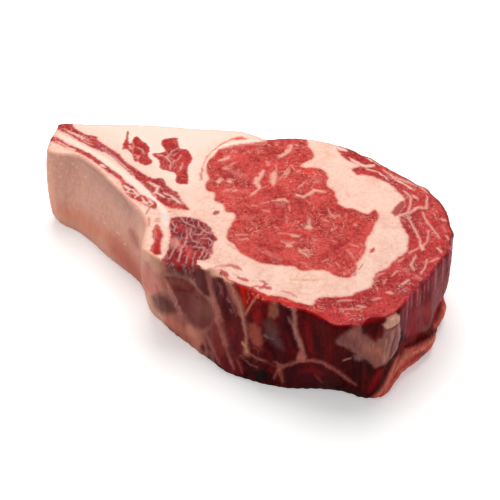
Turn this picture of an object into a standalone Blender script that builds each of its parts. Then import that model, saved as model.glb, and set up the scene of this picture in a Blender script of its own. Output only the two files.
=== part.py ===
"""Thick bone-in beef rib steak, lying on its cut face.

Units in the tables below are millimetres, and the finished meshes are in metres, +Z up.
Every tissue that shows on the cut face is a solid of its own that runs down through the
steak: the eye muscle, the cap muscle round it, the small muscles by the rib, the rib bone
and the fat that holds them together. Plan views are drawn on the upper cut face, then the
whole steak is warped to its real form, so that neighbours stay neighbours.
"""

import math

import bmesh
import bpy
import numpy as np
from mathutils.geometry import delaunay_2d_cdt

MM = 0.001

# Driving dimensions
THICKNESS = 51.0
SEAM_GAP = 0.35
EDGE_ROUND = 1.6
BONE_LOW = 6.5
BONE_HIGH = 34.0
PLAN_CENTRE = (-4.7, -1.9)

# Mesh fineness
OUTLINE_STEP = 6.0
SEAM_STEP = 5.0
INNER_STEP = 10.0
RIM_INSET = 2.8
ROW_DEPTH = 9.0
MIDDLE_LEVEL = 24.0
WALL_LEVELS = (3.0, 10.0, 17.0, 31.0, 38.0, 44.0, 48.5)
LEVEL_FACE = 38.0

# Plan outline of the upper cut face, clockwise from the back corner of the rib end.
# The third and fourth numbers say how far the lower face stands out from that point.
OUTLINE = [
    (-108.5, 81.5, 1, 0), (-92, 80.7, 0, 0), (-70, 78.8, 0, 1), (-45, 76.8, 0, 1),
    (-22, 75.2, 0, 1), (-7, 73.8, 0, 1), (3, 70, 0, 1), (9, 66.5, 0, 1),
    (20, 68.2, 0, 0), (32, 68, 0, 0), (44, 64.6, 0, -1), (58, 56.5, 0, -1),
    (72.5, 44.5, -1, -2), (86, 32, -2, -2), (97, 20.5, -3, -1), (104, 7, -4, 0),
    (106.3, -9, -5, 0), (104.5, -26, -4, 1), (97.5, -38, -1, -2), (90.5, -48, 2, -4),
    (83.5, -58, 1, -3), (75.3, -70, -1, -1), (69, -76, -1, -6), (61, -79, 1, -8.5),
    (51, -83, 2, -1.5), (42, -82, 0, 1), (33, -77.5, 0, -2.8), (22, -71.5, -1, -9),
    (10, -66, -1, -12), (-1, -59.5, -2, -14), (-10, -51.5, -3, -17.5), (-18, -44.5, -3, -17),
    (-29, -41, -3, -8.5), (-40, -38, -1, -2.5), (-50, -33, 2, 1), (-56, -26, 3, 0),
    (-55.5, -15, -1, -1), (-55.5, -5, -4, -2), (-60, 5, -4.5, -3), (-68, 16, -5, -5),
    (-78, 29, -6, -6), (-87, 41, -5, -8), (-97, 50, -4, -8), (-107, 52.5, -3, -4),
    (-113.5, 55.5, -1, -1), (-114, 62, 0, 0), (-112.5, 70.5, 0, 0), (-110.5, 77, 1, 0),
]

EYE_MUSCLE = [
    (-4, 60), (4, 63), (11, 69), (22, 73), (32, 70), (34, 60), (36.5, 54), (34, 48.5),
    (28, 44.5), (30, 41), (37, 41), (42, 36.5), (43.5, 30), (42.5, 23), (46.5, 17), (48, 10),
    (55, 5), (62, 2.5), (68, 1), (68, -5), (64, -13), (60.5, -22), (58.5, -32), (55, -41),
    (50, -48), (44, -46.5), (37, -41.5), (27, -41.5), (15, -40), (4, -37), (-5, -31),
    (-10, -23), (-12, -14), (-9, -6), (-8, 1), (-14, 6), (-18.5, 13), (-22, 19.5),
    (-24, 26), (-24, 36), (-22.5, 44), (-18, 52), (-11, 57.5),
]
CAP_MUSCLE = [
    (52, 50), (58, 44), (57, 37), (65, 33.5), (73, 29), (79, 21), (81, 12), (76, 2),
    (79, -5), (80, -13), (83, -21), (81.5, -27), (77, -32.5), (71, -39.5), (65, -43.5),
    (62, -49), (60, -55.5), (52, -60.5), (42, -63), (33, -66.5), (26, -66), (16, -61.5),
    (7, -56.5), (-2, -51), (-10, -46), (-15.5, -44), (-22, -58), (-8, -86), (30, -104),
    (80, -104), (120, -60), (132, 0), (112, 40), (80, 58), (62, 60),
]
CHINE_MUSCLE = [
    (-39.5, -1), (-32, -1), (-25.5, -4), (-20.5, -10), (-17.5, -18), (-19.5, -26),
    (-20, -33), (-25, -37.5), (-28, -56), (-46, -56), (-46, -38), (-43, -30), (-41.5, -22),
    (-42.5, -14), (-42, -6),
]
OUTER_RIB_LEAN = [
    (-103, 92), (-100, 79.5), (-94, 72), (-86.5, 68), (-82, 60), (-73, 52), (-64, 40.5),
    (-55, 31.5), (-48, 30.5), (-41, 21), (-36, 12), (-31.5, 5), (-40, 5.5), (-48.5, 11.5),
    (-55, 20), (-61, 30), (-71, 40.5), (-82, 51.5), (-93, 61.5), (-102, 70), (-118, 80.5),
    (-120, 92),
]
INNER_RIB_LEAN = [
    (-118, 70), (-109, 67), (-98, 59), (-86, 48), (-76, 37.5), (-65, 27.5), (-57.5, 17),
    (-50.5, 8), (-56, 6.5), (-65, 13.5), (-74, 26.5), (-83, 38.5), (-92, 48), (-101, 56.5),
    (-111, 62), (-120, 64),
]
WEDGE_LEAN_SMALL = [
    (-68.5, 72.5), (-65.5, 66), (-61.5, 66), (-59, 60), (-55.5, 57), (-55, 49.5),
    (-53.5, 44), (-59, 42), (-65, 46.5), (-68.5, 53), (-70, 62),
]
WEDGE_LEAN_LARGE = [
    (-50.5, 61), (-45, 65.5), (-40, 63), (-35.5, 54.5), (-32.5, 45), (-34, 36),
    (-33.5, 28), (-39.5, 27), (-41.5, 34), (-48.5, 40), (-51, 49),
]
NECK_LEAN = [(-49, -10), (-46, -16), (-46.5, -27), (-49, -32), (-51.5, -28), (-51, -17)]
RIB_BONE = [
    (-106, 69), (-95, 59.5), (-80, 45), (-66, 29), (-54, 12), (-48, 0), (-44, -10),
    (-35, -18), (-25, -26), (-21, -36), (-20.5, -60), (-60, -60), (-80, -8), (-130, 50),
    (-124, 75), (-112, 74),
]

# Fold of lean along the foot of the right side, from its front tip to where it runs out
FOLD_TIP = (66.0, -78.0)
FOLD_END = (107.0, -14.0)
FOLD_RISE = 14.0
FOLD_DEPTH = 3.0

COLOURS = {
    "lean": ((0.40, 0.030, 0.030), 0.38),
    "dark_lean": ((0.19, 0.016, 0.020), 0.40),
    "fat": ((0.90, 0.62, 0.47), 0.48),
    "bone": ((0.55, 0.29, 0.20), 0.50),
}


def smooth_loop(points, step):
    """Closed Catmull-Rom curve through the points, as points about one step apart."""
    knots = np.array(points, float)
    before, after, far = (np.roll(knots, k, axis=0) for k in (1, -1, -2))
    fine = [
        0.5
        * (
            2 * knots
            + (after - before) * t
            + (2 * before - 5 * knots + 4 * after - far) * t**2
            + (3 * knots - before - 3 * after + far) * t**3
        )
        for t in np.linspace(0.0, 1.0, 24, endpoint=False)
    ]
    curve = np.stack(fine, axis=1).reshape(-1, knots.shape[1])
    closed = np.vstack([curve, curve[:1]])
    steps = np.linalg.norm(np.diff(closed[:, :2], axis=0), axis=1)
    run = np.concatenate([[0], np.cumsum(steps)])
    places = np.linspace(0, run[-1], max(8, round(run[-1] / step)), endpoint=False)
    return np.stack([np.interp(places, run, column) for column in closed.T], axis=1)


def outward_normals(loop):
    """Unit normals that point away from what the loop encloses."""
    along = np.roll(loop, -1, axis=0)[:, :2] - np.roll(loop, 1, axis=0)[:, :2]
    normal = np.stack([along[:, 1], -along[:, 0]], axis=1)
    normal /= np.linalg.norm(normal, axis=1)[:, None]
    x, y = loop[:, 0], loop[:, 1]
    turns_left = np.sum(x * np.roll(y, -1) - np.roll(x, -1) * y) > 0
    return normal if turns_left else -normal


def is_inside(points, loop):
    """True for each point that the loop encloses."""
    x, y = points[:, :1], points[:, 1:2]
    x0, y0 = loop[:, 0], loop[:, 1]
    x1, y1 = np.roll(x0, -1), np.roll(y0, -1)
    spans = (y0 <= y) != (y1 <= y)
    rise = np.where(y1 == y0, 1e-9, y1 - y0)
    left_of = x < x0 + (y - y0) * (x1 - x0) / rise
    return np.sum(spans & left_of, axis=1) % 2 == 1


def distance_to(points, loop):
    """Distance from each point to the nearest stretch of the loop."""
    start = loop[:, :2]
    run = np.roll(start, -1, axis=0) - start
    offset = points[:, None, :2] - start
    share = np.clip(np.sum(offset * run, axis=2) / np.sum(run * run, axis=1), 0, 1)
    return np.linalg.norm(offset - share[..., None] * run, axis=2).min(axis=1)


def inset(loop, gap):
    """The loop moved inwards by the gap, or outwards by a negative one."""
    return loop[:, :2] - outward_normals(loop) * gap


def station(point):
    """Run along the rim, in millimetres, of the place nearest to a plan point."""
    return float(np.argmin(np.linalg.norm(RIM[:, :2] - np.array(point, float), axis=1)))


def window(run, first, last, fade):
    """1 between two stations of the rim, fading to 0 outside them."""
    return np.clip(np.minimum(run - first, last - run) / fade + 1.0, 0.0, 1.0)


def side_relief(run, height):
    """How far the side stands out from a straight wall: belly, muscle bundles and the fold."""
    belly = 1.8 * np.sin(math.pi * height / THICKNESS) - 2.0 * np.exp(-height / 3.0)
    front = window(run, station((60, -79)), station((-48, -34)), 14)
    right = window(run, station((60, 52)), station((74, -72)), 14)
    bundles = np.sin(run / 2.9 + 1.3 * np.sin(run / 7.0)) + 0.6 * np.sin(run / 5.3 + height / 17.0)
    first, last = station(FOLD_END), station(FOLD_TIP)
    crest = FOLD_RISE * np.clip(6.0 * (last - run) / (last - first), 0, 1) ** 0.6
    lip = np.exp(-(((height - 0.4 * crest) / 6.0) ** 2)) - 0.8 * np.exp(-(((height - crest) / 3.0) ** 2))
    fold = FOLD_DEPTH * lip * window(run, first, last, 6)
    return belly + (front + 0.45 * right) * bundles + fold


def upper_face(x, y):
    """Height of the upper cut face, which a knife leaves slightly uneven."""
    waves = 0.7 * np.sin(x / 29.0 + 0.4) * np.cos(y / 23.0) + 0.35 * np.sin(x / 11.0 - y / 14.0)
    swell = 0.9 * np.exp(-(((x + 45) / 42) ** 2 + ((y - 62) / 22) ** 2))
    return THICKNESS - 0.9 + waves + swell


def warp(points):
    """Takes points of the straight-sided block to their places in the real steak."""
    x, y, z = points.T
    apart = np.linalg.norm(points[:, None, :2] - RIM[:, :2], axis=2)
    depth = apart.min(axis=1)
    share = 1.0 / (apart**2 + 1.0) ** 2
    share /= share.sum(axis=1)[:, None]
    flare = (share @ RIM[:, 2:]) * np.exp(-((depth / 26.0) ** 2))[:, None]
    relief = share * side_relief(np.arange(len(RIM), dtype=float), z[:, None])
    relief = (relief @ RIM_NORMAL) * np.exp(-((depth / 5.0) ** 2))[:, None]
    near_top = np.clip((z - LEVEL_FACE) / (THICKNESS - LEVEL_FACE), 0, 1)
    rounding = EDGE_ROUND * np.clip(1.0 - depth / (2.0 * EDGE_ROUND), 0, 1) ** 2
    height = z + (upper_face(x, y) - THICKNESS) * near_top - rounding * near_top**3
    plan = points[:, :2] + flare * (1.0 - z / THICKNESS)[:, None] + relief
    return np.column_stack([plan - PLAN_CENTRE, height])


def plan_sheet(loops, belongs):
    """Flat triangle sheet between closed loops, kept where belongs() says so."""
    corners, edges = [], []
    for loop in loops:
        first = len(corners)
        corners += [tuple(p) for p in loop[:, :2]]
        edges += [(first + k, first + (k + 1) % len(loop)) for k in range(len(loop))]
    low, high = SIDE.min(axis=0), SIDE.max(axis=0)
    rows = np.arange(low[1], high[1], INNER_STEP * math.sqrt(0.75))
    fill = [
        (x + (row % 2) * INNER_STEP / 2, y)
        for row, y in enumerate(rows)
        for x in np.arange(low[0], high[0], INNER_STEP)
    ]
    fill = np.vstack([fill, RIM_BAND])
    fill = fill[belongs(fill)]
    near = np.min([distance_to(fill, loop) for loop in loops], axis=0)
    corners += [tuple(p) for p in fill[near > 0.45 * SEAM_STEP]]
    verts, _, faces, *_ = delaunay_2d_cdt(corners, edges, [], 0, 1e-4)
    verts = np.array([tuple(v) for v in verts])
    centres = np.array([verts[list(f)].mean(axis=0) for f in faces])
    return verts, [f for f, keep in zip(faces, belongs(centres)) if keep]


def tissue_block(name, sheet, low, high):
    """The sheet extruded from low to high, with rows on the walls that the warp bends."""
    verts, faces = sheet
    used = sorted({k for f in faces for k in f})
    place = {k: n for n, k in enumerate(used)}
    mesh = bpy.data.meshes.new(name)
    mesh.from_pydata([(*verts[k], low) for k in used], [], [[place[k] for k in f] for f in faces])
    bm = bmesh.new()
    bm.from_mesh(mesh)
    made = bmesh.ops.extrude_face_region(bm, geom=list(bm.faces))["geom"]
    for v in [g for g in made if isinstance(g, bmesh.types.BMVert)]:
        v.co.z = high
    bmesh.ops.recalc_face_normals(bm, faces=bm.faces)
    if low + 1 < MIDDLE_LEVEL < high - 1:
        whole = [*bm.verts, *bm.edges, *bm.faces]
        bmesh.ops.bisect_plane(bm, geom=whole, plane_co=(0, 0, MIDDLE_LEVEL), plane_no=(0, 0, 1))
    walls = [f for f in bm.faces if abs(f.normal.z) < 0.5]
    corners = np.array([[v.co[:2] for v in f.verts] for f in walls])
    depth = distance_to(corners.reshape(-1, 2), SIDE).reshape(len(walls), -1).min(axis=1)
    bent = [f for f, d in zip(walls, depth) if d < ROW_DEPTH]
    bent += list({e for f in bent for e in f.edges}) + list({v for f in bent for v in f.verts})
    for level in [z for z in WALL_LEVELS if low + 1 < z < high - 1]:
        cut = bmesh.ops.bisect_plane(bm, geom=bent, plane_co=(0, 0, level), plane_no=(0, 0, 1))
        bent = cut["geom"]
    bm.to_mesh(mesh)
    bm.free()
    return bpy.data.objects.new(name, mesh)


def cut_away(block, cutter):
    """Takes the cutter out of the block, and keeps the result as the block's own mesh."""
    cut = block.modifiers.new("seat", "BOOLEAN")
    cut.operation = "DIFFERENCE"
    cut.solver = "EXACT"
    cut.object = cutter
    evaluated = block.evaluated_get(bpy.context.evaluated_depsgraph_get())
    result = bpy.data.meshes.new_from_object(evaluated)
    block.modifiers.clear()
    block.data = result


def tissue_material(kind):
    """Plain finish of one kind of tissue."""
    colour, roughness = COLOURS[kind]
    material = bpy.data.materials.new(kind)
    material.use_nodes = True
    shader = material.node_tree.nodes["Principled BSDF"]
    shader.inputs["Base Color"].default_value = (*colour, 1.0)
    shader.inputs["Roughness"].default_value = roughness
    shader.inputs["Metallic"].default_value = 0.0
    return material


def shape(block, kind):
    """Warps the straight block to the steak's form, in metres, and gives it its material."""
    bm = bmesh.new()
    bm.from_mesh(block.data)
    placed = warp(np.array([tuple(v.co) for v in bm.verts])) * MM
    for v, place in zip(bm.verts, placed):
        v.co = place
    bmesh.ops.triangulate(bm, faces=bm.faces, quad_method="SHORT_EDGE", ngon_method="BEAUTY")
    bm.to_mesh(block.data)
    bm.free()
    block.data.materials.clear()
    block.data.materials.append(MATERIALS[kind])
    block.data.shade_smooth()
    block.data.set_sharp_from_angle(angle=math.radians(40))


# The outline at one-millimetre steps carries what depends on the place along the side
RIM = smooth_loop(OUTLINE, 1.0)
RIM_NORMAL = outward_normals(RIM)
SIDE = smooth_loop(OUTLINE, OUTLINE_STEP)[:, :2]
RIM_BAND = inset(SIDE, RIM_INSET)
ABOVE_BONE = BONE_HIGH + SEAM_GAP
BELOW_BONE = BONE_LOW - SEAM_GAP

# Plan loop, lower height, upper height and finish of each muscle
LEANS = {
    "eye_muscle": (EYE_MUSCLE, 0.0, THICKNESS, "lean"),
    "cap_muscle": (CAP_MUSCLE, 0.0, THICKNESS, "lean"),
    "chine_muscle": (CHINE_MUSCLE, 0.0, THICKNESS, "dark_lean"),
    "outer_rib_lean": (OUTER_RIB_LEAN, 0.0, THICKNESS, "lean"),
    "inner_rib_lean": (INNER_RIB_LEAN, ABOVE_BONE, THICKNESS, "lean"),
    "inner_rib_lean_low": (INNER_RIB_LEAN, 0.0, BELOW_BONE, "lean"),
    "wedge_lean_small": (WEDGE_LEAN_SMALL, 0.0, THICKNESS, "lean"),
    "wedge_lean_large": (WEDGE_LEAN_LARGE, 0.0, THICKNESS, "lean"),
    "neck_lean": (NECK_LEAN, ABOVE_BONE, THICKNESS, "lean"),
    "neck_lean_low": (NECK_LEAN, 0.0, BELOW_BONE, "lean"),
}
LOOPS = {name: smooth_loop(lean[0], SEAM_STEP) for name, lean in LEANS.items()}
BONE_LOOP = smooth_loop(RIB_BONE, SEAM_STEP)

for leftover in list(bpy.data.objects):
    bpy.data.objects.remove(leftover, do_unlink=True)
steak = bpy.data.collections.new("rib_steak")
bpy.context.scene.collection.children.link(steak)
MATERIALS = {kind: tissue_material(kind) for kind in COLOURS}


def block_inside(name, loop, low, high):
    """Straight block of what lies inside both the loop and the steak's outline."""
    sheet = plan_sheet([loop, SIDE], lambda p: is_inside(p, SIDE) & is_inside(p, loop))
    block = tissue_block(name, sheet, low, high)
    steak.objects.link(block)
    return block


def in_fat(points):
    """True for points of the outline that no muscle takes."""
    return is_inside(points, SIDE) & ~np.any([is_inside(points, loop) for loop in LOOPS.values()], axis=0)


through = [LOOPS[name] for name in LEANS if not name.endswith("_low")]
fat = tissue_block("fat", plan_sheet(through + [SIDE], in_fat), 0.0, THICKNESS)
steak.objects.link(fat)

blocks = {"fat": (fat, "fat")}
for name, (_, low, high, kind) in LEANS.items():
    blocks[name] = (block_inside(name, inset(LOOPS[name], SEAM_GAP), low, high), kind)

# The rib is a bar on the inner side of the steak, seated in the fat and under the chine muscle
seat = tissue_block(
    "bone_seat",
    plan_sheet([inset(BONE_LOOP, -SEAM_GAP)], lambda p: is_inside(p, inset(BONE_LOOP, -SEAM_GAP))),
    BELOW_BONE,
    ABOVE_BONE,
)
steak.objects.link(seat)
for name in ("fat", "chine_muscle"):
    cut_away(blocks[name][0], seat)
bpy.data.objects.remove(seat, do_unlink=True)
blocks["rib_bone"] = (block_inside("rib_bone", BONE_LOOP, BONE_LOW, BONE_HIGH), "bone")

for block, kind in blocks.values():
    shape(block, kind)
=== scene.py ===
"""Looks of the thick bone-in beef rib steak: raw meat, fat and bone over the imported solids."""

import math

import bpy
import numpy as np
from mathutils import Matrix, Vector, kdtree, noise
from mathutils.geometry import delaunay_2d_cdt


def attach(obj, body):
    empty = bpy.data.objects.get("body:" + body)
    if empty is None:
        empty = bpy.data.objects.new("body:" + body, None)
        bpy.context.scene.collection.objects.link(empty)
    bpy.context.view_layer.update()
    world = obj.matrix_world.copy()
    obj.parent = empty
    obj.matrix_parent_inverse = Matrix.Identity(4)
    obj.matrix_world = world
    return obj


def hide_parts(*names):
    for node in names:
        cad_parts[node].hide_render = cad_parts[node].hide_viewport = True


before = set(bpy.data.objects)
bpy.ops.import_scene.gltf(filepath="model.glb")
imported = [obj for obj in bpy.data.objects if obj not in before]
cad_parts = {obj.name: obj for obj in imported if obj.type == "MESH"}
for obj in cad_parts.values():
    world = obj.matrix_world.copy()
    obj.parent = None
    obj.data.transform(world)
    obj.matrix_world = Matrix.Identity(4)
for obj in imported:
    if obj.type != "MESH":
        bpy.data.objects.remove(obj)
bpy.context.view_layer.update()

# View and light. The steak lies on a white table and is seen from well above its front edge.
# A wide soft light hangs over its back edge, so the cut face is bright and the front is dark.
MM = 0.001
VIEW_DOWN = math.radians(42.0)
VIEW_DISTANCE = 755.0
VIEW_TARGET = (4.7, 1.9, 25.0)
LENS_MM = 100.0
SENSOR_MM = 36.0
PHOTO_PIXELS = 500
WHITE = (1.0, 1.0, 1.0, 1.0)
ROOM_LIGHT = 0.3
TABLE_SIZE = 6.0
TABLE_WHITE = (0.93, 0.93, 0.93, 1.0)
TABLE_ROUGHNESS = 0.9
TABLE_GLOW = 0.34

camera = bpy.data.objects.new("camera", bpy.data.cameras.new("camera"))
camera.data.lens = LENS_MM
camera.data.sensor_width = SENSOR_MM
camera.location = (
    VIEW_TARGET[0] * MM,
    (VIEW_TARGET[1] - VIEW_DISTANCE * math.cos(VIEW_DOWN)) * MM,
    (VIEW_TARGET[2] + VIEW_DISTANCE * math.sin(VIEW_DOWN)) * MM,
)
camera.rotation_euler = (math.pi / 2 - VIEW_DOWN, 0.0, 0.0)
bpy.context.scene.collection.objects.link(camera)
bpy.context.scene.camera = camera
bpy.context.scene.view_settings.view_transform = "Standard"


def add_light(name, place, aim, size, power, colour):
    """A square soft light at a place in metres, facing a point."""
    light = bpy.data.lights.new(name, "AREA")
    light.size = size
    light.energy = power
    light.color = colour
    lamp = bpy.data.objects.new(name, light)
    lamp.location = place
    lamp.rotation_euler = (Vector(aim) - Vector(place)).to_track_quat("-Z", "Y").to_euler()
    bpy.context.scene.collection.objects.link(lamp)


add_light("light_over_back", (0.05, 0.45, 0.85), (0, 0, 0.03), 0.75, 9.0, (1.0, 0.985, 0.96))
add_light("light_left", (-0.8, -0.1, 0.45), (0, 0, 0.02), 0.6, 1.2, (1.0, 0.97, 0.94))

world = bpy.data.worlds.new("studio")
bpy.context.scene.world = world
world.use_nodes = True
room = world.node_tree.nodes["Background"]
room.inputs["Color"].default_value = WHITE
room.inputs["Strength"].default_value = ROOM_LIGHT

bpy.ops.mesh.primitive_plane_add(size=TABLE_SIZE, location=(0, 0, 0))
floor = bpy.context.object
floor.name = "floor"
floor_finish = bpy.data.materials.new("white_table")
floor_finish.use_nodes = True
floor_tree = floor_finish.node_tree
floor_shader = floor_tree.nodes["Principled BSDF"]
floor_shader.inputs["Base Color"].default_value = TABLE_WHITE
floor_shader.inputs["Roughness"].default_value = TABLE_ROUGHNESS
floor_shader.inputs["Emission Color"].default_value = WHITE
# The table's faint glow reaches the camera alone, so that it whitens the table but not the meat
to_camera = floor_tree.nodes.new("ShaderNodeLightPath").outputs["Is Camera Ray"]
glow = floor_tree.nodes.new("ShaderNodeMath")
glow.operation = "MULTIPLY"
glow.inputs[1].default_value = TABLE_GLOW
floor_tree.links.new(to_camera, glow.inputs[0])
floor_tree.links.new(glow.outputs[0], floor_shader.inputs["Emission Strength"])
floor.data.materials.append(floor_finish)

# Eye muscle: the large round muscle in the middle of the steak, fine-grained bright red meat with
# flecks and short veins of fat. It was cut straight across the grain, so its face is nearly flat.
# The whole steak's plan is also here: each row is a point and how far the lower face stands out.
THICKNESS = 51.0
EDGE_ROUND = 1.3
PLAN_CENTRE = (-4.7, -1.9)
FINE_STEP = 0.8
MEAT_STEP = 0.62
RIM_STEP = 0.5
CURVE_SAMPLES = 24
FOLD_TIP = (66.0, -78.0)
FOLD_END = (107.0, -14.0)
FOLD_RISE = 14.0
FOLD_DEPTH = 3.0
OUTLINE = [
    (-108.5, 81.5, 1, 0), (-92, 80.7, 0, 0), (-70, 78.8, 0, 1), (-45, 76.8, 0, 1),
    (-22, 75.2, 0, 1), (-7, 73.8, 0, 1), (3, 70, 0, 1), (9, 66.5, 0, 1),
    (20, 68.2, 0, 0), (32, 68, 0, 0), (44, 64.6, 0, -1), (58, 56.5, 0, -1),
    (72.5, 44.5, -1, -2), (86, 32, -2, -2), (97, 20.5, -3, -1), (104, 7, -4, 0),
    (106.3, -9, -5, 0), (104.5, -26, -4, 1), (97.5, -38, -1, -2), (90.5, -48, 2, -4),
    (83.5, -58, 1, -3), (75.3, -70, -1, -1), (69, -76, -1, -6), (61, -79, 1, -8.5),
    (51, -83, 2, -1.5), (42, -82, 0, 1), (33, -77.5, 0, -2.8), (22, -71.5, -1, -9),
    (10, -66, -1, -12), (-1, -59.5, -2, -14), (-10, -51.5, -3, -17.5), (-18, -44.5, -3, -17),
    (-29, -41, -3, -8.5), (-40, -38, -1, -2.5), (-50, -33, 2, 1), (-56, -26, 3, 0),
    (-55.5, -15, -1, -1), (-55.5, -5, -4, -2), (-60, 5, -4.5, -3), (-68, 16, -5, -5),
    (-78, 29, -6, -6), (-87, 41, -5, -8), (-97, 50, -4, -8), (-107, 52.5, -3, -4),
    (-113.5, 55.5, -1, -1), (-114, 62, 0, 0), (-112.5, 70.5, 0, 0), (-110.5, 77, 1, 0),
]
EYE_MUSCLE = [
    (-20, 50), (-23, 46), (-24, 41), (-24, 35), (-22.5, 31), (-24.5, 24), (-23, 20), (-19.5, 18.5),
    (-19, 12), (-14.5, 9), (-13, 3), (-9, 2), (-8, -2), (-10.5, -9), (-12, -14), (-12, -19),
    (-8, -25), (-5.5, -30), (-2, -33), (3, -36.5), (8.5, -38.5), (17, -39.5), (22, -40), (26, -43),
    (34, -43), (39, -44), (42, -46.5), (45.5, -48.5), (50.5, -48.5), (54, -44), (55, -38), (58, -33),
    (59.5, -29), (60.5, -21), (63.5, -15), (66, -8), (68.5, -1.5), (67.5, 3), (65.5, 4), (62.5, 0.5),
    (56, 4.5), (50.5, 6), (47.5, 9), (47.5, 12), (46, 15), (46, 19), (42, 23.5), (42.5, 29),
    (43, 32), (41, 37), (37.5, 40), (31, 40.5), (28, 42.5), (33.5, 47.5), (36, 50.5), (35.5, 55),
    (33, 61), (32, 70), (22, 74), (11, 70), (8, 62), (0, 60.5), (-7, 59), (-13.5, 57), (-18, 55),
]


def smooth_loop(points, step):
    """Closed Catmull-Rom curve through the points, as points about one step apart."""
    knots = np.array(points, float)
    before, after, far = (np.roll(knots, k, axis=0) for k in (1, -1, -2))
    fine = [
        0.5
        * (
            2 * knots
            + (after - before) * t
            + (2 * before - 5 * knots + 4 * after - far) * t**2
            + (3 * knots - before - 3 * after + far) * t**3
        )
        for t in np.linspace(0.0, 1.0, CURVE_SAMPLES, endpoint=False)
    ]
    curve = np.stack(fine, axis=1).reshape(-1, knots.shape[1])
    closed = np.vstack([curve, curve[:1]])
    steps = np.linalg.norm(np.diff(closed[:, :2], axis=0), axis=1)
    run = np.concatenate([[0], np.cumsum(steps)])
    places = np.linspace(0, run[-1], max(8, round(run[-1] / step)), endpoint=False)
    return np.stack([np.interp(places, run, column) for column in closed.T], axis=1)


def outward_normals(loop):
    """Unit normals that point away from what the loop encloses."""
    along = np.roll(loop, -1, axis=0)[:, :2] - np.roll(loop, 1, axis=0)[:, :2]
    normal = np.stack([along[:, 1], -along[:, 0]], axis=1)
    normal /= np.linalg.norm(normal, axis=1)[:, None]
    x, y = loop[:, 0], loop[:, 1]
    turns_left = np.sum(x * np.roll(y, -1) - np.roll(x, -1) * y) > 0
    return normal if turns_left else -normal


# Lengths, in millimetres, of the tears along a tissue's border, and of the bays that gather them
TEAR_LENGTHS = (1.9, 2.6, 3.7, 5.3, 8.1, 12.0)
BAY_LENGTH = 23.0
ANY_PHASE = 6.3


def ragged(points, tear, seed):
    """A tissue border: the smooth loop with small tears and bays up to about the tear's size."""
    loop = smooth_loop(points, FINE_STEP)
    rng = np.random.default_rng(seed)
    length = len(loop) * FINE_STEP
    turn = np.arange(len(loop)) * 2 * math.pi / len(loop)
    shift = np.zeros(len(loop))
    for wave in TEAR_LENGTHS:
        swing = rng.uniform(0.3, 0.7)
        bays = 0.5 + 0.5 * np.sin(round(length / BAY_LENGTH) * turn + rng.uniform(0, ANY_PHASE))
        shift += swing * bays * np.sin(round(length / wave) * turn + rng.uniform(0, ANY_PHASE))
    return loop[:, :2] + outward_normals(loop) * (tear * shift)[:, None]


def is_inside(points, loop):
    """True for each point that the loop encloses."""
    inside = np.zeros(len(points), bool)
    near = np.all((points[:, :2] >= loop.min(axis=0)) & (points[:, :2] <= loop.max(axis=0)), axis=1)
    x0, y0 = loop[:, 0], loop[:, 1]
    x1, y1 = np.roll(x0, -1), np.roll(y0, -1)
    rise = np.where(y1 == y0, 1e-9, y1 - y0)
    picked = np.flatnonzero(near)
    for part in np.array_split(picked, max(1, len(picked) // 4000)):
        x, y = points[part, :1], points[part, 1:2]
        spans = (y0 <= y) != (y1 <= y)
        inside[part] = np.sum(spans & (x < x0 + (y - y0) * (x1 - x0) / rise), axis=1) % 2 == 1
    return inside


def line_distance(points, line, closed=False):
    """Distance from each point to a line of points, and the share of the line run there."""
    line = np.array(line, float)
    ends = np.roll(line, -1, axis=0) if closed else line[1:]
    starts = line if closed else line[:-1]
    best = np.full(len(points), 1e9)
    share = np.zeros(len(points))
    for k, (a, b) in enumerate(zip(starts, ends)):
        run = b - a
        t = np.clip((points - a) @ run / max(run @ run, 1e-9), 0, 1)
        gap = np.linalg.norm(points - a - t[:, None] * run, axis=1)
        nearer = gap < best
        best[nearer] = gap[nearer]
        share[nearer] = (k + t[nearer]) / len(starts)
    return best, share


RIM = smooth_loop(OUTLINE, RIM_STEP)
RIM_NORMAL = outward_normals(RIM)
RIM_RUN = np.arange(len(RIM)) * RIM_STEP
RIM_TREE = kdtree.KDTree(len(RIM))
for number, place in enumerate(RIM):
    RIM_TREE.insert((place[0], place[1], 0.0), number)
RIM_TREE.balance()
SIDE = smooth_loop(OUTLINE, FINE_STEP)[:, :2]


def station(point):
    """Run along the rim, in millimetres, of the place nearest to a plan point."""
    return RIM_RUN[RIM_TREE.find((*point, 0.0))[1]]


def window(run, first, last, fade):
    """1 between two stations of the rim, fading to 0 outside them."""
    return np.clip(np.minimum(run - first, last - run) / fade + 1.0, 0.0, 1.0)


# Shape of the side, in millimetres: a slight belly and a tucked foot all round, muscle bundles along
# the front and the right, and the fold of meat along the foot of the right side
BELLY = 1.8
FOOT_TUCK = 2.0
FOOT_HEIGHT = 3.0
BUNDLES_FROM = 12.0
BUNDLE_FADE = 14
FRONT_BUNDLES = (station((60, -79)), station((-48, -34)))
RIGHT_BUNDLES = (station((60, 52)), station((74, -72)))
FOLD_RUN = (station(FOLD_END), station(FOLD_TIP))
FOLD_FADE = 6
FOLD_LIP = 6.0
FOLD_GROOVE = 3.0


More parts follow.
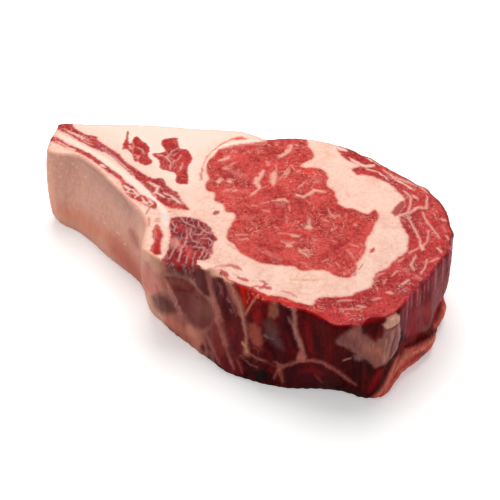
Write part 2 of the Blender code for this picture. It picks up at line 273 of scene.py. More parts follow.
def side_relief(run, height):
    """How far the side stands out from a straight wall: belly, muscle bundles and the fold."""
    belly = BELLY * np.sin(math.pi * height / THICKNESS) - FOOT_TUCK * np.exp(-height / FOOT_HEIGHT)
    front = window(run, *FRONT_BUNDLES, BUNDLE_FADE)
    right = window(run, *RIGHT_BUNDLES, BUNDLE_FADE)
    bundles = np.sin(run / 2.9 + 1.3 * np.sin(run / 7.0)) + 0.6 * np.sin(run / 5.3 + height / 17.0)
    bundles *= np.clip(height / BUNDLES_FROM, 0.15, 1.0)
    first, last = FOLD_RUN
    crest = FOLD_RISE * np.clip(6.0 * (last - run) / (last - first), 0, 1) ** 0.6
    lip = np.exp(-(((height - 0.4 * crest) / FOLD_LIP) ** 2))
    lip -= 0.8 * np.exp(-(((height - crest) / FOLD_GROOVE) ** 2))
    fold = FOLD_DEPTH * lip * window(run, first, last, FOLD_FADE)
    return belly + (front + 0.45 * right) * bundles + fold


def upper_face(x, y):
    """Height of the upper cut face, which a knife leaves slightly uneven."""
    waves = 0.7 * np.sin(x / 29.0 + 0.4) * np.cos(y / 23.0) + 0.35 * np.sin(x / 11.0 - y / 14.0)
    swell = 0.9 * np.exp(-(((x + 45) / 42) ** 2 + ((y - 62) / 22) ** 2))
    return THICKNESS - 0.9 + waves + swell


def noise_at(points, size, seed):
    """Smooth noise of about -1 to 1 at each point, with features of the given size."""
    return np.array([noise.noise(Vector(p) / size + Vector((seed, 7.1 * seed, 0))) for p in points])


def in_photo(points):
    """Pixel of the photograph's 500 by 500 frame where each point of the steak, in mm, shows."""
    p = points - np.array(VIEW_TARGET)
    away = p[:, 1] * math.cos(VIEW_DOWN) - p[:, 2] * math.sin(VIEW_DOWN) + VIEW_DISTANCE
    up = p[:, 1] * math.sin(VIEW_DOWN) + p[:, 2] * math.cos(VIEW_DOWN)
    size = PHOTO_PIXELS * LENS_MM / SENSOR_MM / away
    return np.column_stack([PHOTO_PIXELS / 2 + size * p[:, 0], PHOTO_PIXELS / 2 - size * up])


def colour(red, green, blue):
    """Linear light values of a colour given as it is mixed, each channel from 0 to 255."""
    value = np.array([red, green, blue]) / 255.0
    return np.where(value <= 0.04045, value / 12.92, ((value + 0.055) / 1.055) ** 2.4)


def smooth(value):
    """Soft step from 0 at -1 to 1 at +1."""
    t = np.clip(value * 0.5 + 0.5, 0, 1)
    return t * t * (3 - 2 * t)


def lay(coat, tint, inside, soft, strength=1.0):
    """Lays a soft-edged mark over a coat, where inside is positive. A coat's colour is already
    multiplied by its cover, so that it fades cleanly at the mark's edge."""
    share = (strength * smooth(inside / soft))[:, None]
    coat[:] = coat * (1 - share) + np.append(tint, 1.0) * share


def stroke(points, line, wide, ends=0.35):
    """Positive inside a stroke of the given width, which thins towards its ends."""
    gap, share = line_distance(points, line)
    return wide / 2 * (ends + (1 - ends) * np.sqrt(np.clip(4 * share * (1 - share), 0, 1))) - gap


def patch(points, outline):
    """Positive inside a closed patch: the distance to its edge."""
    loop = np.array(outline, float)
    gap, _ = line_distance(points, loop, closed=True)
    return np.where(is_inside(points, loop), gap, -gap)


def brush(tint, strength, soft, rise, rows):
    """Strokes of one colour as marks, from rows of width and points."""
    return [(tint, wide, soft, strength, rise, points) for wide, points in rows]


# Marks on the side, placed by the photograph's pixels where they show. Each is a colour, a stroke's
# width or 0 for a closed patch, an edge softness, a strength, how far it stands out in millimetres,
# and its points. The side is in shade, so its marks are made brighter by the gain.
# Marks wander a little, narrow ones have frayed edges, and the sides that don't show in the
# photograph get only the hidden side's share of the dark wet look.
SIDE_GAIN = 1.5
SIDE_WANDER = 1.1
FACE_WANDER = 1.2
ROUGH_WIDTH = 4.0
ROUGHNESS = 0.3
HIDDEN_SIDE = 0.5
SIDE_MARKS = [
    # membrane over the rib: grey bands of painted shade under the top edge, warm foot, pale tip, small
    # bruises
    ((192, 142, 128), 14, 9, 0.6, 0.0, [(66, 156), (88, 172), (108, 190), (128, 208), (143, 232)]),
    ((198, 118, 92), 14, 9, 0.8, 0.0, [(58, 208), (74, 216), (92, 226), (108, 238), (122, 254)]),
    ((176, 94, 72), 16, 9, 0.8, 0.0, [(112, 238), (124, 252), (136, 268), (148, 286)]),
    ((220, 152, 124), 4, 3, 0.7, 0.0, [(50, 164), (51, 190), (54, 210)]),
    ((150, 58, 52), 7, 4, 0.7, -0.2, [(130, 230), (135, 239), (138, 248)]),
    ((168, 74, 58), 9, 6, 0.6, 0.0, [(112, 248), (126, 262), (138, 276), (150, 290)]),
    ((160, 124, 116), 7, 5, 0.5, 0.0, [(90, 172), (104, 183), (118, 197), (133, 216)]),
    # small pale dots on the membrane are painted glints
    *brush((244, 212, 196), 0.5, 0.7, 0.1, [
        (0.9, [(52, 159), (53, 160)]), (0.8, [(57, 155), (58, 156.5)]), (1.0, [(61, 163), (62, 164)]),
        (0.8, [(65, 158), (66, 159)]), (0.9, [(54, 168), (55, 169)]), (0.8, [(67, 171), (68, 172)]),
        (0.8, [(72, 163), (73, 164)]), (0.9, [(76, 167), (77, 168.5)]), (0.8, [(49, 173), (50, 174)]),
        (0.8, [(60, 176), (61, 177)]), (0.9, [(85, 177), (86, 178)]), (0.8, [(97, 186), (98, 187)]),
        (0.8, [(117, 232), (119, 234)]), (0.8, [(104, 222), (105, 223)]), (0.9, [(124, 244), (126, 245)]),
    ]),
    ((130, 92, 76), 2, 2, 0.5, -0.2, [(78, 158), (93, 169), (107, 181), (122, 196), (133, 212)]),
    # neck: pale fat runs down into tan skin, with the sawn bone's brown oval beside it
    ((150, 88, 76), 0, 3, 1.0, 0.0, [(146, 262), (160, 258), (170, 268), (190, 262), (205, 262),
     (212, 275), (225, 276), (245, 300), (250, 356), (225, 356), (200, 348), (180, 335), (160, 312),
     (150, 290)]),
    ((214, 160, 136), 6, 4, 0.8, 0.2, [(141, 226), (142, 240), (147, 252), (156, 270)]),
    ((180, 124, 98), 12, 5, 0.8, 0.0, [(152, 258), (160, 272)]),
    ((188, 112, 95), 14, 6, 0.9, 0.0, [(148, 270), (155, 290), (160, 300)]),
    ((168, 52, 50), 3, 2, 0.8, 0.0, [(155, 284), (158, 292), (161, 301)]),
    ((104, 44, 46), 0, 3, 0.9, 0.0, [(167, 258), (206, 254), (208, 272), (200, 281), (190, 281),
     (178, 277), (168, 272)]),
    ((150, 15, 20), 3.5, 1.5, 0.9, 0.0, [(175, 256), (178, 264), (181, 272)]),
    ((150, 15, 20), 3.5, 1.5, 0.9, 0.0, [(186, 254), (189, 263), (191, 272)]),
    ((150, 15, 20), 3.5, 1.5, 0.9, 0.0, [(196, 258), (198, 266), (198, 274)]),
    ((178, 126, 116), 1.3, 0.8, 0.9, 0.2, [(171, 258), (173, 266), (177, 276)]),
    ((178, 126, 116), 1.3, 0.8, 0.9, 0.2, [(181, 256), (184, 266), (187, 278)]),
    ((178, 126, 116), 1.3, 0.8, 0.9, 0.2, [(192, 256), (193, 268), (194, 280)]),
    ((178, 126, 116), 1.2, 0.8, 0.8, 0.2, [(200, 258), (202, 266), (203, 272)]),
    ((168, 110, 104), 1.0, 0.8, 0.8, 0.2, [(168, 262), (170, 268), (175, 275)]),
    ((168, 110, 104), 1.0, 0.8, 0.8, 0.2, [(187, 262), (190, 270), (191, 278)]),
    ((150, 110, 98), 3, 2, 0.9, 0.3, [(163, 276), (176, 274), (190, 279), (200, 288), (208, 298)]),
    ((108, 42, 38), 0, 2.5, 1.0, -0.5, [(165, 276), (176, 277), (188, 281), (197, 290), (205, 297),
     (211, 305), (214, 316), (212, 326), (203, 330), (194, 325), (187, 317), (180, 310), (175, 300),
     (171, 290)]),
    ((142, 78, 66), 8, 4, 0.7, 0.0, [(167, 281), (176, 281), (186, 288)]),
    ((128, 76, 56), 11, 6, 0.7, 0.0, [(203, 304), (207, 316)]),
    ((92, 24, 26), 6, 3, 0.6, 0.0, [(188, 318), (198, 328)]),
    ((92, 36, 24), 0, 4, 0.95, -0.6, [(152, 297), (160, 294), (168, 297), (174, 304), (176, 312),
     (168, 316), (158, 312), (153, 305)]),
    ((112, 66, 44), 3, 2, 0.6, 0.0, [(153, 299), (156, 295), (163, 293), (170, 297)]),
    ((84, 12, 6), 7, 4, 0.8, -0.2, [(161, 300), (168, 304), (173, 311)]),
    ((190, 124, 116), 1.3, 0.8, 0.9, 0.3, [(164, 278), (171, 290), (177, 303), (182, 314)]),
    ((180, 112, 106), 1.0, 0.7, 0.8, 0.3, [(166, 283), (170, 293), (175, 304), (178, 313)]),
    ((174, 100, 82), 0, 4, 0.9, 0.3, [(163, 314), (172, 317), (186, 326), (200, 334), (206, 341),
     (202, 352), (188, 348), (176, 338), (166, 326)]),
    ((165, 80, 70), 4, 2, 0.8, 0.0, [(176, 317), (183, 324), (192, 331)]),
    ((96, 24, 26), 0, 3, 0.85, 0.0, [(206, 332), (214, 322), (224, 322), (236, 346), (244, 370),
     (236, 376), (220, 368), (206, 360), (199, 350), (203, 342)]),
    ((156, 84, 76), 3.4, 1.8, 0.85, 0.3, [(217, 318), (220, 331), (225, 344), (230, 358), (234, 369)]),
    ((150, 78, 70), 3.0, 1.6, 0.85, 0.3, [(206, 331), (210, 343), (216, 355), (220, 364)]),
    ((160, 88, 78), 2.4, 1.4, 0.8, 0.3, [(203, 337), (206, 347), (207, 357)]),
    ((72, 6, 10), 3.2, 1.5, 0.9, -0.3, [(202.5, 345), (204.5, 350)]),
    ((72, 6, 10), 2.4, 1.3, 0.9, -0.3, [(209, 345), (209.5, 350)]),
    ((66, 6, 12), 2.2, 1.3, 0.8, -0.3, [(209, 355), (210, 361)]),
    # dark strips of muscle between pale seams, left of the middle
    ((88, 26, 28), 0, 1.5, 0.95, -0.3, [(192, 273), (199, 268), (205, 270), (208, 284), (211, 297),
     (204, 295), (197, 287)]),
    ((84, 14, 22), 0, 1.5, 0.95, -0.4, [(212, 279), (221, 277), (227, 288), (233, 302), (240, 318),
     (244, 334), (243, 356), (236, 356), (230, 338), (223, 320), (217, 302), (213, 290)]),
    ((78, 26, 30), 0, 2, 0.7, 0.0, [(212, 279), (221, 277), (227, 290), (231, 305), (222, 312),
     (216, 300)]),
    ((128, 70, 72), 3.0, 1.8, 0.6, 0.2, [(218, 284), (221, 290), (222, 296)]),
    ((132, 78, 78), 2.4, 1.4, 0.6, 0.2, [(227, 292), (231, 303), (236, 316)]),
    ((60, 8, 14), 2.2, 1.4, 0.7, -0.2, [(222, 302), (227, 314), (231, 326)]),
    ((120, 30, 34), 3.0, 2.0, 0.6, 0.0, [(228, 322), (232, 334), (235, 346)]),
    ((222, 160, 132), 3.2, 1.5, 0.9, 0.2, [(211, 273), (218, 275), (226, 278), (234, 282)]),
    ((158, 88, 78), 3.4, 2.0, 0.9, 0.5, [(204, 264), (209, 282), (213, 298), (218, 316), (223, 332),
     (230, 352)]),
    ((180, 114, 98), 2.2, 1.2, 0.9, 0.4, [(227, 279), (233, 290), (238, 300), (242, 312), (245, 322),
     (247, 336), (246, 352)]),
    ((134, 12, 11), 0, 2.5, 0.95, 0.0, [(234, 284), (246, 284), (260, 290), (275, 296), (272, 306),
     (258, 304), (250, 306), (246, 312), (242, 302)]),
    ((176, 30, 12), 4, 1.5, 0.9, 0.1, [(240, 286), (243, 294), (245, 303)]),
    ((80, 12, 16), 4, 2, 0.9, -0.3, [(246, 316), (250, 326), (249, 346)]),
    ((120, 12, 10), 0, 2.5, 0.9, 0.2, [(250, 308), (256, 305), (262, 312), (262, 322), (257, 326),
     (252, 317)]),
    ((104, 14, 12), 0, 3, 0.8, 0.0, [(261, 301), (268, 299), (274, 304), (271, 314), (264, 314)]),
    ((150, 84, 68), 0, 2.5, 0.85, 0.2, [(270, 305), (275, 300), (279, 306), (279, 314), (274, 319),
     (268, 316)]),
    ((196, 110, 92), 1.8, 1.2, 0.9, 0.4, [(257, 296), (250, 306), (245, 316)]),
    ((142, 66, 54), 0, 2.5, 0.85, 0.2, [(248, 324), (255, 323), (261, 330), (263, 342), (262, 350),
     (254, 344), (249, 336)]),
    ((108, 66, 62), 0, 4, 0.7, 0.2, [(264, 322), (269, 318), (275, 324), (278, 334), (272, 338),
     (266, 332)]),
    ((94, 62, 66), 0, 4, 0.65, 0.2, [(266, 332), (274, 332), (281, 342), (284, 350), (276, 346),
     (269, 340)]),
    ((150, 118, 112), 1.6, 1, 0.6, 0.0, [(264, 334), (268, 337), (273, 339)]),
    ((58, 5, 10), 0, 2, 0.9, 0.0, [(277, 303), (291, 303), (294, 325), (298, 345), (292, 352),
     (285, 345), (281, 325)]),
    ((150, 80, 70), 2.2, 1, 0.85, 0.2, [(246, 350), (256, 358), (268, 362), (276, 368)]),
    ((92, 10, 13), 4, 2.5, 0.8, 0.0, [(262, 346), (267, 352), (272, 358)]),
    ((26, 6, 8), 0, 1.5, 0.95, -0.5, [(253, 371), (262, 369), (268, 374), (267, 382), (256, 382)]),
    # middle of the front: a pale seam that comes down and forks over the darkest meat
    ((64, 12, 18), 0, 2, 0.8, 0.0, [(283, 368), (300, 366), (320, 367), (335, 375), (343, 385),
     (325, 388), (300, 387), (282, 382)]),
    ((178, 112, 100), 4.2, 1.8, 0.9, 0.5, [(293, 306), (295, 318), (295, 328), (298, 338), (302, 347),
     (304, 355), (302, 360)]),
    ((160, 100, 92), 2.6, 1.4, 0.8, 0.3, [(288.5, 317), (291, 322), (294, 328)]),
    ((176, 96, 88), 0, 1.6, 0.9, 0.4, [(299, 351), (304, 350), (307, 357), (304, 361), (296, 362)]),
    ((152, 80, 74), 3.0, 1.6, 0.9, 0.4, [(301, 361), (312, 360), (322, 362), (331, 367), (340, 373),
     (348, 379), (356, 385)]),
    ((140, 72, 66), 3.0, 1.8, 0.85, 0.3, [(302, 360), (292, 363), (284, 366), (277, 371), (274, 379)]),
    ((120, 10, 14), 5, 3, 0.7, 0.1, [(306, 322), (309, 340), (312, 352)]),
    ((96, 8, 14), 5, 3, 0.4, 0.0, [(322, 325), (326, 345), (330, 358)]),
    ((36, 2, 6), 5, 3, 0.6, -0.2, [(314, 326), (317, 344), (320, 354)]),
    ((112, 10, 14), 3, 2, 0.6, 0.0, [(286, 330), (289, 342), (293, 352)]),
    ((126, 14, 16), 4, 3, 0.6, 0.0, [(300, 372), (312, 370), (324, 374)]),
    ((40, 3, 6), 5, 3, 0.7, -0.1, [(330, 384), (344, 390), (360, 394)]),
    ((160, 90, 84), 1.0, 0.8, 0.7, 0.1, [(240, 356), (250, 364), (258, 368)]),
    # flap of silverskin and fat left on the front right
    ((148, 90, 82), 0, 2.4, 0.9, 0.6, [(336.5, 341), (342, 336), (349, 330), (357, 326), (361, 326),
     (362, 334), (368, 335), (375, 341), (379, 334), (388, 325), (396, 316), (399, 317), (400, 336),
     (398, 347), (393, 357), (386, 364), (375, 367), (366, 359), (357, 354), (347, 347), (338, 344)]),
    ((174, 104, 84), 12, 5, 0.7, 0.0, [(366, 345), (376, 352), (384, 356)]),
    ((124, 68, 66), 8, 4, 0.75, 0.0, [(338, 341), (346, 338), (353, 341), (357, 349)]),
    ((84, 12, 16), 5, 2, 0.9, -0.4, [(380, 323), (381, 330), (380, 337)]),
    ((178, 122, 110), 4, 2, 0.75, 0.0, [(393, 327), (391, 342), (387, 357)]),
    ((176, 122, 124), 3, 1.5, 0.8, 0.2, [(398, 324), (399, 336), (396, 348), (392, 357)]),
    ((216, 162, 142), 0, 1.4, 0.95, 1.0, [(383, 324), (388, 319), (395, 313.5), (399, 315),
     (398, 321), (391, 326), (385, 328)]),
    # a painted shadow under the raised lump of fat
    ((120, 56, 50), 1.6, 1.0, 0.8, -0.3, [(385, 330), (391, 328.5), (396, 325)]),
    # a pale bluish-grey painted glint on the flap
    ((136, 100, 106), 5, 3, 0.7, 0.0, [(355, 356), (361, 359)]),
    ((190, 118, 100), 1.3, 0.8, 0.8, 0.1, [(343, 360), (351, 358)]),
    # right side, purple-red with upright grain, and the fold of meat along its foot
    ((146, 42, 50), 0, 3, 0.75, 0.0, [(401, 300), (410, 285), (425, 270), (440, 258), (454, 240),
     (454, 262), (450, 290), (446, 300), (438, 322), (425, 330), (408, 338), (402, 330)]),
    ((140, 36, 40), 12, 6, 0.6, 0.0, [(412, 318), (425, 318), (436, 308)]),
    ((204, 90, 78), 0, 1.5, 0.95, 0.6, [(371, 397), (377, 392), (383, 381), (389, 372), (393, 364),
     (398, 356), (404, 349), (413, 346), (421, 342.5), (430, 338.5), (436, 333), (439, 324),
     (443, 306), (447, 298), (450, 312), (443, 332), (436, 349), (423, 361), (409, 371), (397, 379),
     (387, 394), (378, 402), (370, 402)]),
    ((212, 128, 108), 2.6, 1.2, 0.85, 0.4, [(378, 394), (386, 381), (394, 368), (402, 356),
     (412, 349)]),
    ((212, 128, 108), 2.0, 1.2, 0.8, 0.4, [(399, 362), (412, 353), (425, 346), (434, 338)]),
    ((120, 15, 18), 1.6, 1, 0.8, -0.3, [(388, 384), (398, 370), (408, 362)]),
    ((90, 35, 38), 4, 2, 0.8, 0.0, [(415, 356), (424, 352)]),
    ((206, 110, 88), 3, 1.5, 0.8, 0.3, [(441, 320), (445, 303)]),
    ((112, 78, 66), 6, 3, 0.85, 0.0, [(424, 331), (430, 328)]),
    ((112, 6, 10), 4, 2, 0.9, -0.8, [(384, 374), (391, 361), (399, 350), (406, 343), (416, 338),
     (428, 333), (435, 325), (440, 308)]),
    ((64, 3, 6), 5, 2, 0.9, -0.8, [(401, 332), (398, 350), (390, 366), (384, 380), (377, 392)]),
    # small tears, seams and spots of both halves
    ((150, 95, 90), 3, 1.5, 0.8, 0.2, [(165, 275), (177, 275), (190, 278)]),
    ((112, 34, 28), 6, 4, 0.7, 0.0, [(180, 290), (186, 302), (192, 312)]),
    ((190, 125, 95), 6, 3, 0.7, 0.1, [(187, 326), (195, 336)]),
    ((190, 90, 70), 2.5, 1.5, 0.8, 0.0, [(167, 320), (172, 323)]),
    ((120, 26, 26), 3, 2, 0.7, -0.1, [(213, 334), (218, 346), (224, 360)]),
    ((88, 22, 30), 4, 2, 0.7, 0.0, [(229, 346), (234, 358)]),
    ((150, 76, 70), 1.2, 0.8, 0.6, 0.1, [(236, 358), (240, 366), (243, 374)]),
    ((140, 62, 58), 1.0, 0.7, 0.7, 0.1, [(247, 349), (254, 347), (259, 351), (260, 358), (256, 362)]),
    ((150, 96, 90), 1.1, 0.7, 0.6, 0.2, [(217, 281), (221, 288), (219, 295)]),
    ((170, 120, 110), 1.3, 0.7, 0.7, 0.2, [(227, 299), (229, 303)]),
    ((170, 120, 110), 1.2, 0.7, 0.7, 0.2, [(229, 309), (231, 313)]),
    ((200, 130, 100), 2.4, 1, 0.85, 0.3, [(241, 342), (246, 347), (248, 353)]),
    ((166, 20, 12), 4, 2, 0.9, 0.1, [(249, 288), (259, 291), (272, 297)]),
    ((206, 92, 66), 1.2, 0.7, 0.8, 0.1, [(250, 291), (254, 296), (258, 297)]),
    ((206, 92, 66), 1.0, 0.7, 0.8, 0.1, [(247, 290), (249, 298), (247, 303)]),
    ((206, 92, 66), 1.0, 0.7, 0.8, 0.1, [(262, 292), (263, 299), (268, 300)]),
    ((84, 8, 8), 2.0, 1.2, 0.7, -0.1, [(256, 300), (263, 303), (268, 308)]),
    ((235, 170, 150), 0.9, 0.5, 0.8, 0.1, [(255, 287), (259, 293), (258, 299)]),
    ((235, 170, 150), 0.8, 0.5, 0.8, 0.1, [(266, 289), (268, 297)]),
    ((92, 6, 9), 6, 2.5, 0.8, 0.0, [(267, 358), (272, 365), (275, 372)]),
    ((130, 12, 14), 2.2, 1.2, 0.8, 0.0, [(268, 369), (273, 372)]),
    ((144, 76, 62), 3.4, 1.8, 0.8, 0.2, [(277, 362), (280, 371), (283, 382)]),
    ((140, 82, 74), 2.0, 1.2, 0.7, 0.2, [(274, 361), (281, 365), (290, 365), (298, 362)]),
    ((150, 50, 44), 1.6, 1, 0.7, 0.1, [(314.5, 374), (318, 378), (322, 383)]),
    ((120, 12, 16), 4, 2, 0.8, -0.3, [(362, 323), (372, 320), (382, 319)]),
    ((120, 12, 16), 3, 2, 0.8, -0.3, [(367, 333), (375, 340), (381, 330)]),
    ((184, 132, 130), 1.8, 1, 0.8, 0.5, [(398.5, 326), (399.5, 337), (396, 350), (391, 358)]),
    ((104, 42, 40), 1.6, 0.9, 0.85, -0.3, [(395.5, 331), (392, 344), (389, 357)]),
    ((196, 146, 124), 1.6, 1, 0.7, 0.4, [(386, 338), (385, 350), (383, 362)]),
    ((130, 14, 14), 6, 3, 0.9, -0.2, [(381, 371), (375, 380), (370, 392)]),
    ((205, 110, 90), 3.4, 1.2, 0.9, 0.5, [(382.5, 392), (390.5, 374), (397, 361), (406, 350)]),
    ((170, 40, 35), 3.5, 1.5, 0.8, 0.0, [(409, 361), (418, 355)]),
    ((146, 54, 52), 9, 5, 0.5, 0.0, [(417, 312), (428, 313), (434, 306)]),
    ((150, 14, 14), 3.4, 1.8, 0.8, 0.0, [(413, 327), (415, 334)]),
    ((215, 35, 25), 3.5, 1.5, 0.8, 0.0, [(441, 300), (444, 304)]),
    ((205, 95, 78), 3.0, 1.5, 0.8, 0.2, [(435, 328), (440, 320), (443, 309)]),
    *brush((92, 18, 32), 0.75, 1.2, -0.2, [
        (2.0, [(405, 300), (404, 328)]), (1.6, [(414, 290), (413, 316)]), (2.2, [(422, 284), (421, 306)]),
        (1.8, [(432, 270), (430, 298)]), (2.0, [(440, 262), (438, 288)]), (1.6, [(447, 250), (446, 284)]),
        (1.2, [(409, 306), (408, 328)]), (1.4, [(427, 290), (425, 306)]),
    ]),
    *brush((188, 98, 104), 0.75, 0.7, 0.15, [
        (0.9, [(408, 296), (407, 318)]), (0.9, [(412, 290), (411, 308)]), (1.0, [(418, 281), (417, 306)]),
        (0.9, [(425, 276), (424, 300)]), (1.0, [(429, 274), (428, 292)]), (0.9, [(436, 264), (435, 290)]),
        (1.0, [(444, 256), (442, 280)]), (0.9, [(450, 246), (449, 276)]), (0.8, [(421, 290), (420, 304)]),
    ]),
    ((186, 130, 134), 1.5, 0.8, 0.7, 0.1, [(451.5, 220), (452.5, 244), (451, 268)]),
    ((235, 195, 175), 2.4, 1, 0.9, 0.4, [(348, 320), (355, 322), (363, 320)]),
    ((235, 190, 168), 5, 2, 0.9, 0.4, [(202, 264), (208, 269)]),
    # bright wet rim along the front edge of the cut face, with thin orange painted highlights on it
    ((160, 8, 8), 6, 3, 0.9, 0.0, [(258, 293), (277, 295.5), (289, 298), (298, 303), (311, 308),
     (320, 313), (329, 317)]),
    ((120, 6, 12), 4, 2.5, 0.7, 0.0, [(331, 318), (347, 323), (368, 321), (385, 317), (398, 311)]),
    ((224, 60, 36), 1.2, 0.8, 0.7, 0.1, [(266, 294), (280, 297), (292, 301)]),
    ((224, 60, 36), 1.2, 0.8, 0.7, 0.1, [(303, 307), (313, 311), (322, 315)]),
]

# The steak is first a straight block in three layers, and the rib takes part of the middle one. The
# side's shape and the wider foot then move its points, and fade out towards the middle.
BONE_LOW = 6.5
BONE_HIGH = 34.0
SLABS = (0.0, BONE_LOW, BONE_HIGH, THICKNESS)
SLAB_ROWS = (8, 33, 22)
LEVELS = len(SLABS)
FACE_LEVEL = 38.0
SIDE_SPREAD = 5.0
FLARE_REACH = 3.6
FLARE_DEPTH = 26.0
COARSE_RIM = RIM[::10]
RIM_WIDTH = 0.3
ON_THE_RIM = 0.001
CLEAR_OF_BORDERS = 0.6
MERGE = 0.00001
FAR_INSIDE = 9.0
SEEN_FROM = 0.05
SEEN_FADE = 0.12
CREASE = math.radians(60)
COARSE_WANDER = 3.0
FINE_WANDER = 1.3
STREAK_WIDTH = 1.4
STREAK_HEIGHT = 9.0
SIDE_GRAIN = 0.3
FACE_GRAIN = 0.12
RIB_BONE = [
    (-106, 69), (-95, 59.5), (-80, 45), (-66, 29), (-54, 12), (-48, 0), (-44, -10),
    (-35, -18), (-25, -26), (-21, -36), (-20.5, -60), (-60, -60), (-80, -8), (-130, 50),
    (-124, 75), (-112, 74),
]
BONE_LOOP = smooth_loop(RIB_BONE, FINE_STEP)


def fine_sheet(loops, belongs, step):
    """Flat sheet of small triangles between closed loops, kept where belongs() says so."""
    corners, edges = [], []
    for loop in loops:
        first = len(corners)
        corners += [tuple(p) for p in loop]
        edges += [(first + k, first + (k + 1) % len(loop)) for k in range(len(loop))]
    tree = kdtree.KDTree(len(corners))
    for k, (x, y) in enumerate(corners):
        tree.insert((x, y, 0.0), k)
    tree.balance()
    low = np.maximum(SIDE.min(axis=0), np.min([loop.min(axis=0) for loop in loops[:-1]], axis=0))
    high = np.minimum(SIDE.max(axis=0), np.max([loop.max(axis=0) for loop in loops[:-1]], axis=0))
    fill = [
        (x + (row % 2) * step / 2, y)
        for row, y in enumerate(np.arange(low[1], high[1], step * math.sqrt(0.75)))
        for x in np.arange(low[0], high[0], step)
    ]
    fill = np.array(fill)
    fill = fill[belongs(fill)]
    corners += [tuple(p) for p in fill if tree.find((p[0], p[1], 0.0))[2] > CLEAR_OF_BORDERS * step]
    verts, _, faces, *_ = delaunay_2d_cdt(corners, edges, [], 0, MERGE)
    verts = np.array([tuple(v) for v in verts])
    faces = np.array([tuple(f) for f in faces])
    faces = faces[belongs(verts[faces].mean(axis=1))]
    used, faces = np.unique(faces, return_inverse=True)
    return verts[used], faces.reshape(-1, 3)


def rim_place(plan):
    """Nearest rim point's number and the distance to it, for each plan point."""
    found = [RIM_TREE.find((x, y, 0.0)) for x, y in plan]
    return np.array([f[1] for f in found]), np.array([f[2] for f in found])


def settle(plan, z, near, depth, proud):
    """Takes points of the straight block, in mm, to their places in the real steak."""
    apart = np.linalg.norm(plan[:, None] - COARSE_RIM[:, :2], axis=2)
    share = 1.0 / (apart**2 + FLARE_REACH**2) ** 2
    share /= share.sum(axis=1)[:, None]
    flare = (share @ COARSE_RIM[:, 2:]) * np.exp(-((depth / FLARE_DEPTH) ** 2))[:, None]
    over = np.clip(z - (THICKNESS - EDGE_ROUND), 0, EDGE_ROUND)
    fillet = EDGE_ROUND - np.sqrt(EDGE_ROUND**2 - over**2)
    out = (side_relief(RIM_RUN[near], z) + proud - fillet) * np.exp(-((depth / SIDE_SPREAD) ** 2))
    near_top = np.clip((z - FACE_LEVEL) / (THICKNESS - FACE_LEVEL), 0, 1)
    height = z + (upper_face(*plan.T) - THICKNESS) * near_top
    moved = plan + flare * (1.0 - z / THICKNESS)[:, None] + RIM_NORMAL[near] * out[:, None]
    return np.column_stack([moved - PLAN_CENTRE, height])


def slab_solid(plan, faces, filled):
    """Closed solid of the sheet's columns in the filled slabs: plan index and height of each
    vertex, and its faces. Points on the rim get rows all the way down the side."""
    near, depth = rim_place(plan)
    edges = np.sort(faces[:, [0, 1, 1, 2, 2, 0]].reshape(-1, 2), axis=1)
    edges, uses = np.unique(edges, axis=0, return_counts=True)
    border = np.zeros(len(plan), bool)
    border[edges[uses == 1].ravel()] = True
    rim = np.flatnonzero(border & (depth < RIM_WIDTH))
    gap, _ = line_distance(plan[rim], SIDE, closed=True)
    rim = rim[gap < ON_THE_RIM]
    count = LEVELS * len(plan)
    owner = [np.tile(np.arange(len(plan)), LEVELS)]
    height = [np.repeat(SLABS, len(plan))]
    level = np.arange(count).reshape(LEVELS, -1)
    column = {}
    for slab, rows in enumerate(SLAB_ROWS):
        inner = np.linspace(SLABS[slab], SLABS[slab + 1], rows + 1)[1:-1]
        owner.append(np.repeat(rim, len(inner)))
        height.append(np.tile(inner, len(rim)))
        numbers = count + np.arange(len(rim) * len(inner)).reshape(len(rim), len(inner))
        for v, middle in zip(rim, numbers):
            column[(v, slab)] = [level[slab, v], *middle, level[slab + 1, v]]
        count += numbers.size
    neighbour = {}
    for t, (a, b, c) in enumerate(faces.tolist()):
        neighbour[(a, b)] = neighbour[(b, c)] = neighbour[(c, a)] = t
    solid = []
    for slab in range(LEVELS - 1):
        here = filled[:, slab]
        above = filled[:, slab + 1] if slab < LEVELS - 2 else np.zeros(len(faces), bool)
        below = filled[:, slab - 1] if slab else np.zeros(len(faces), bool)
        solid += level[slab + 1][faces[here & ~above]].tolist()
        solid += level[slab][faces[here & ~below][:, ::-1]].tolist()
    for (a, b), t in neighbour.items():
        other = neighbour.get((b, a))
        for slab in range(LEVELS - 1):
            if not filled[t, slab] or (other is not None and filled[other, slab]):
                continue
            left = column.get((a, slab))
            right = column.get((b, slab))
            low_a, low_b = level[slab, a], level[slab, b]
            high_a, high_b = level[slab + 1, a], level[slab + 1, b]
            if left and right:
                pairs = list(zip(left, right))
                solid += [(p, q, s, r) for (p, q), (r, s) in zip(pairs, pairs[1:])]
            elif left:
                solid += [(p, low_b, r) for p, r in zip(left, left[1:])] + [(high_a, low_b, high_b)]
            elif right:
                solid += [(low_a, q, s) for q, s in zip(right, right[1:])] + [(low_a, high_b, high_a)]
            else:
                solid.append((low_a, low_b, high_b, high_a))
    return np.concatenate(owner), np.concatenate(height), rim, near, depth, solid


def wander(spread):
    """A soft shift of each point, coarse and fine, so that marks don't look drawn."""
    coarse = np.column_stack([noise_at(spread, COARSE_WANDER, seed) for seed in (1, 2)])
    fine = np.column_stack([noise_at(spread, FINE_WANDER, seed) for seed in (3, 4)])
    return 0.6 * coarse + 0.5 * fine


def paint_face(coat, lift, spots, marks, on_face, top, wobble):
    """Lays marks on the cut faces, and raises or sinks the upper one where they are."""
    for tint, wide, soft, strength, rise, points in marks:
        inside = stroke(spots, points, wide) if wide else patch(spots, points)
        if wide < ROUGH_WIDTH:
            inside += ROUGHNESS * wide * wobble[:, 0]
        lay(coat, colour(*tint), inside, soft, strength * on_face)
        lift += rise * smooth(inside / soft) * top


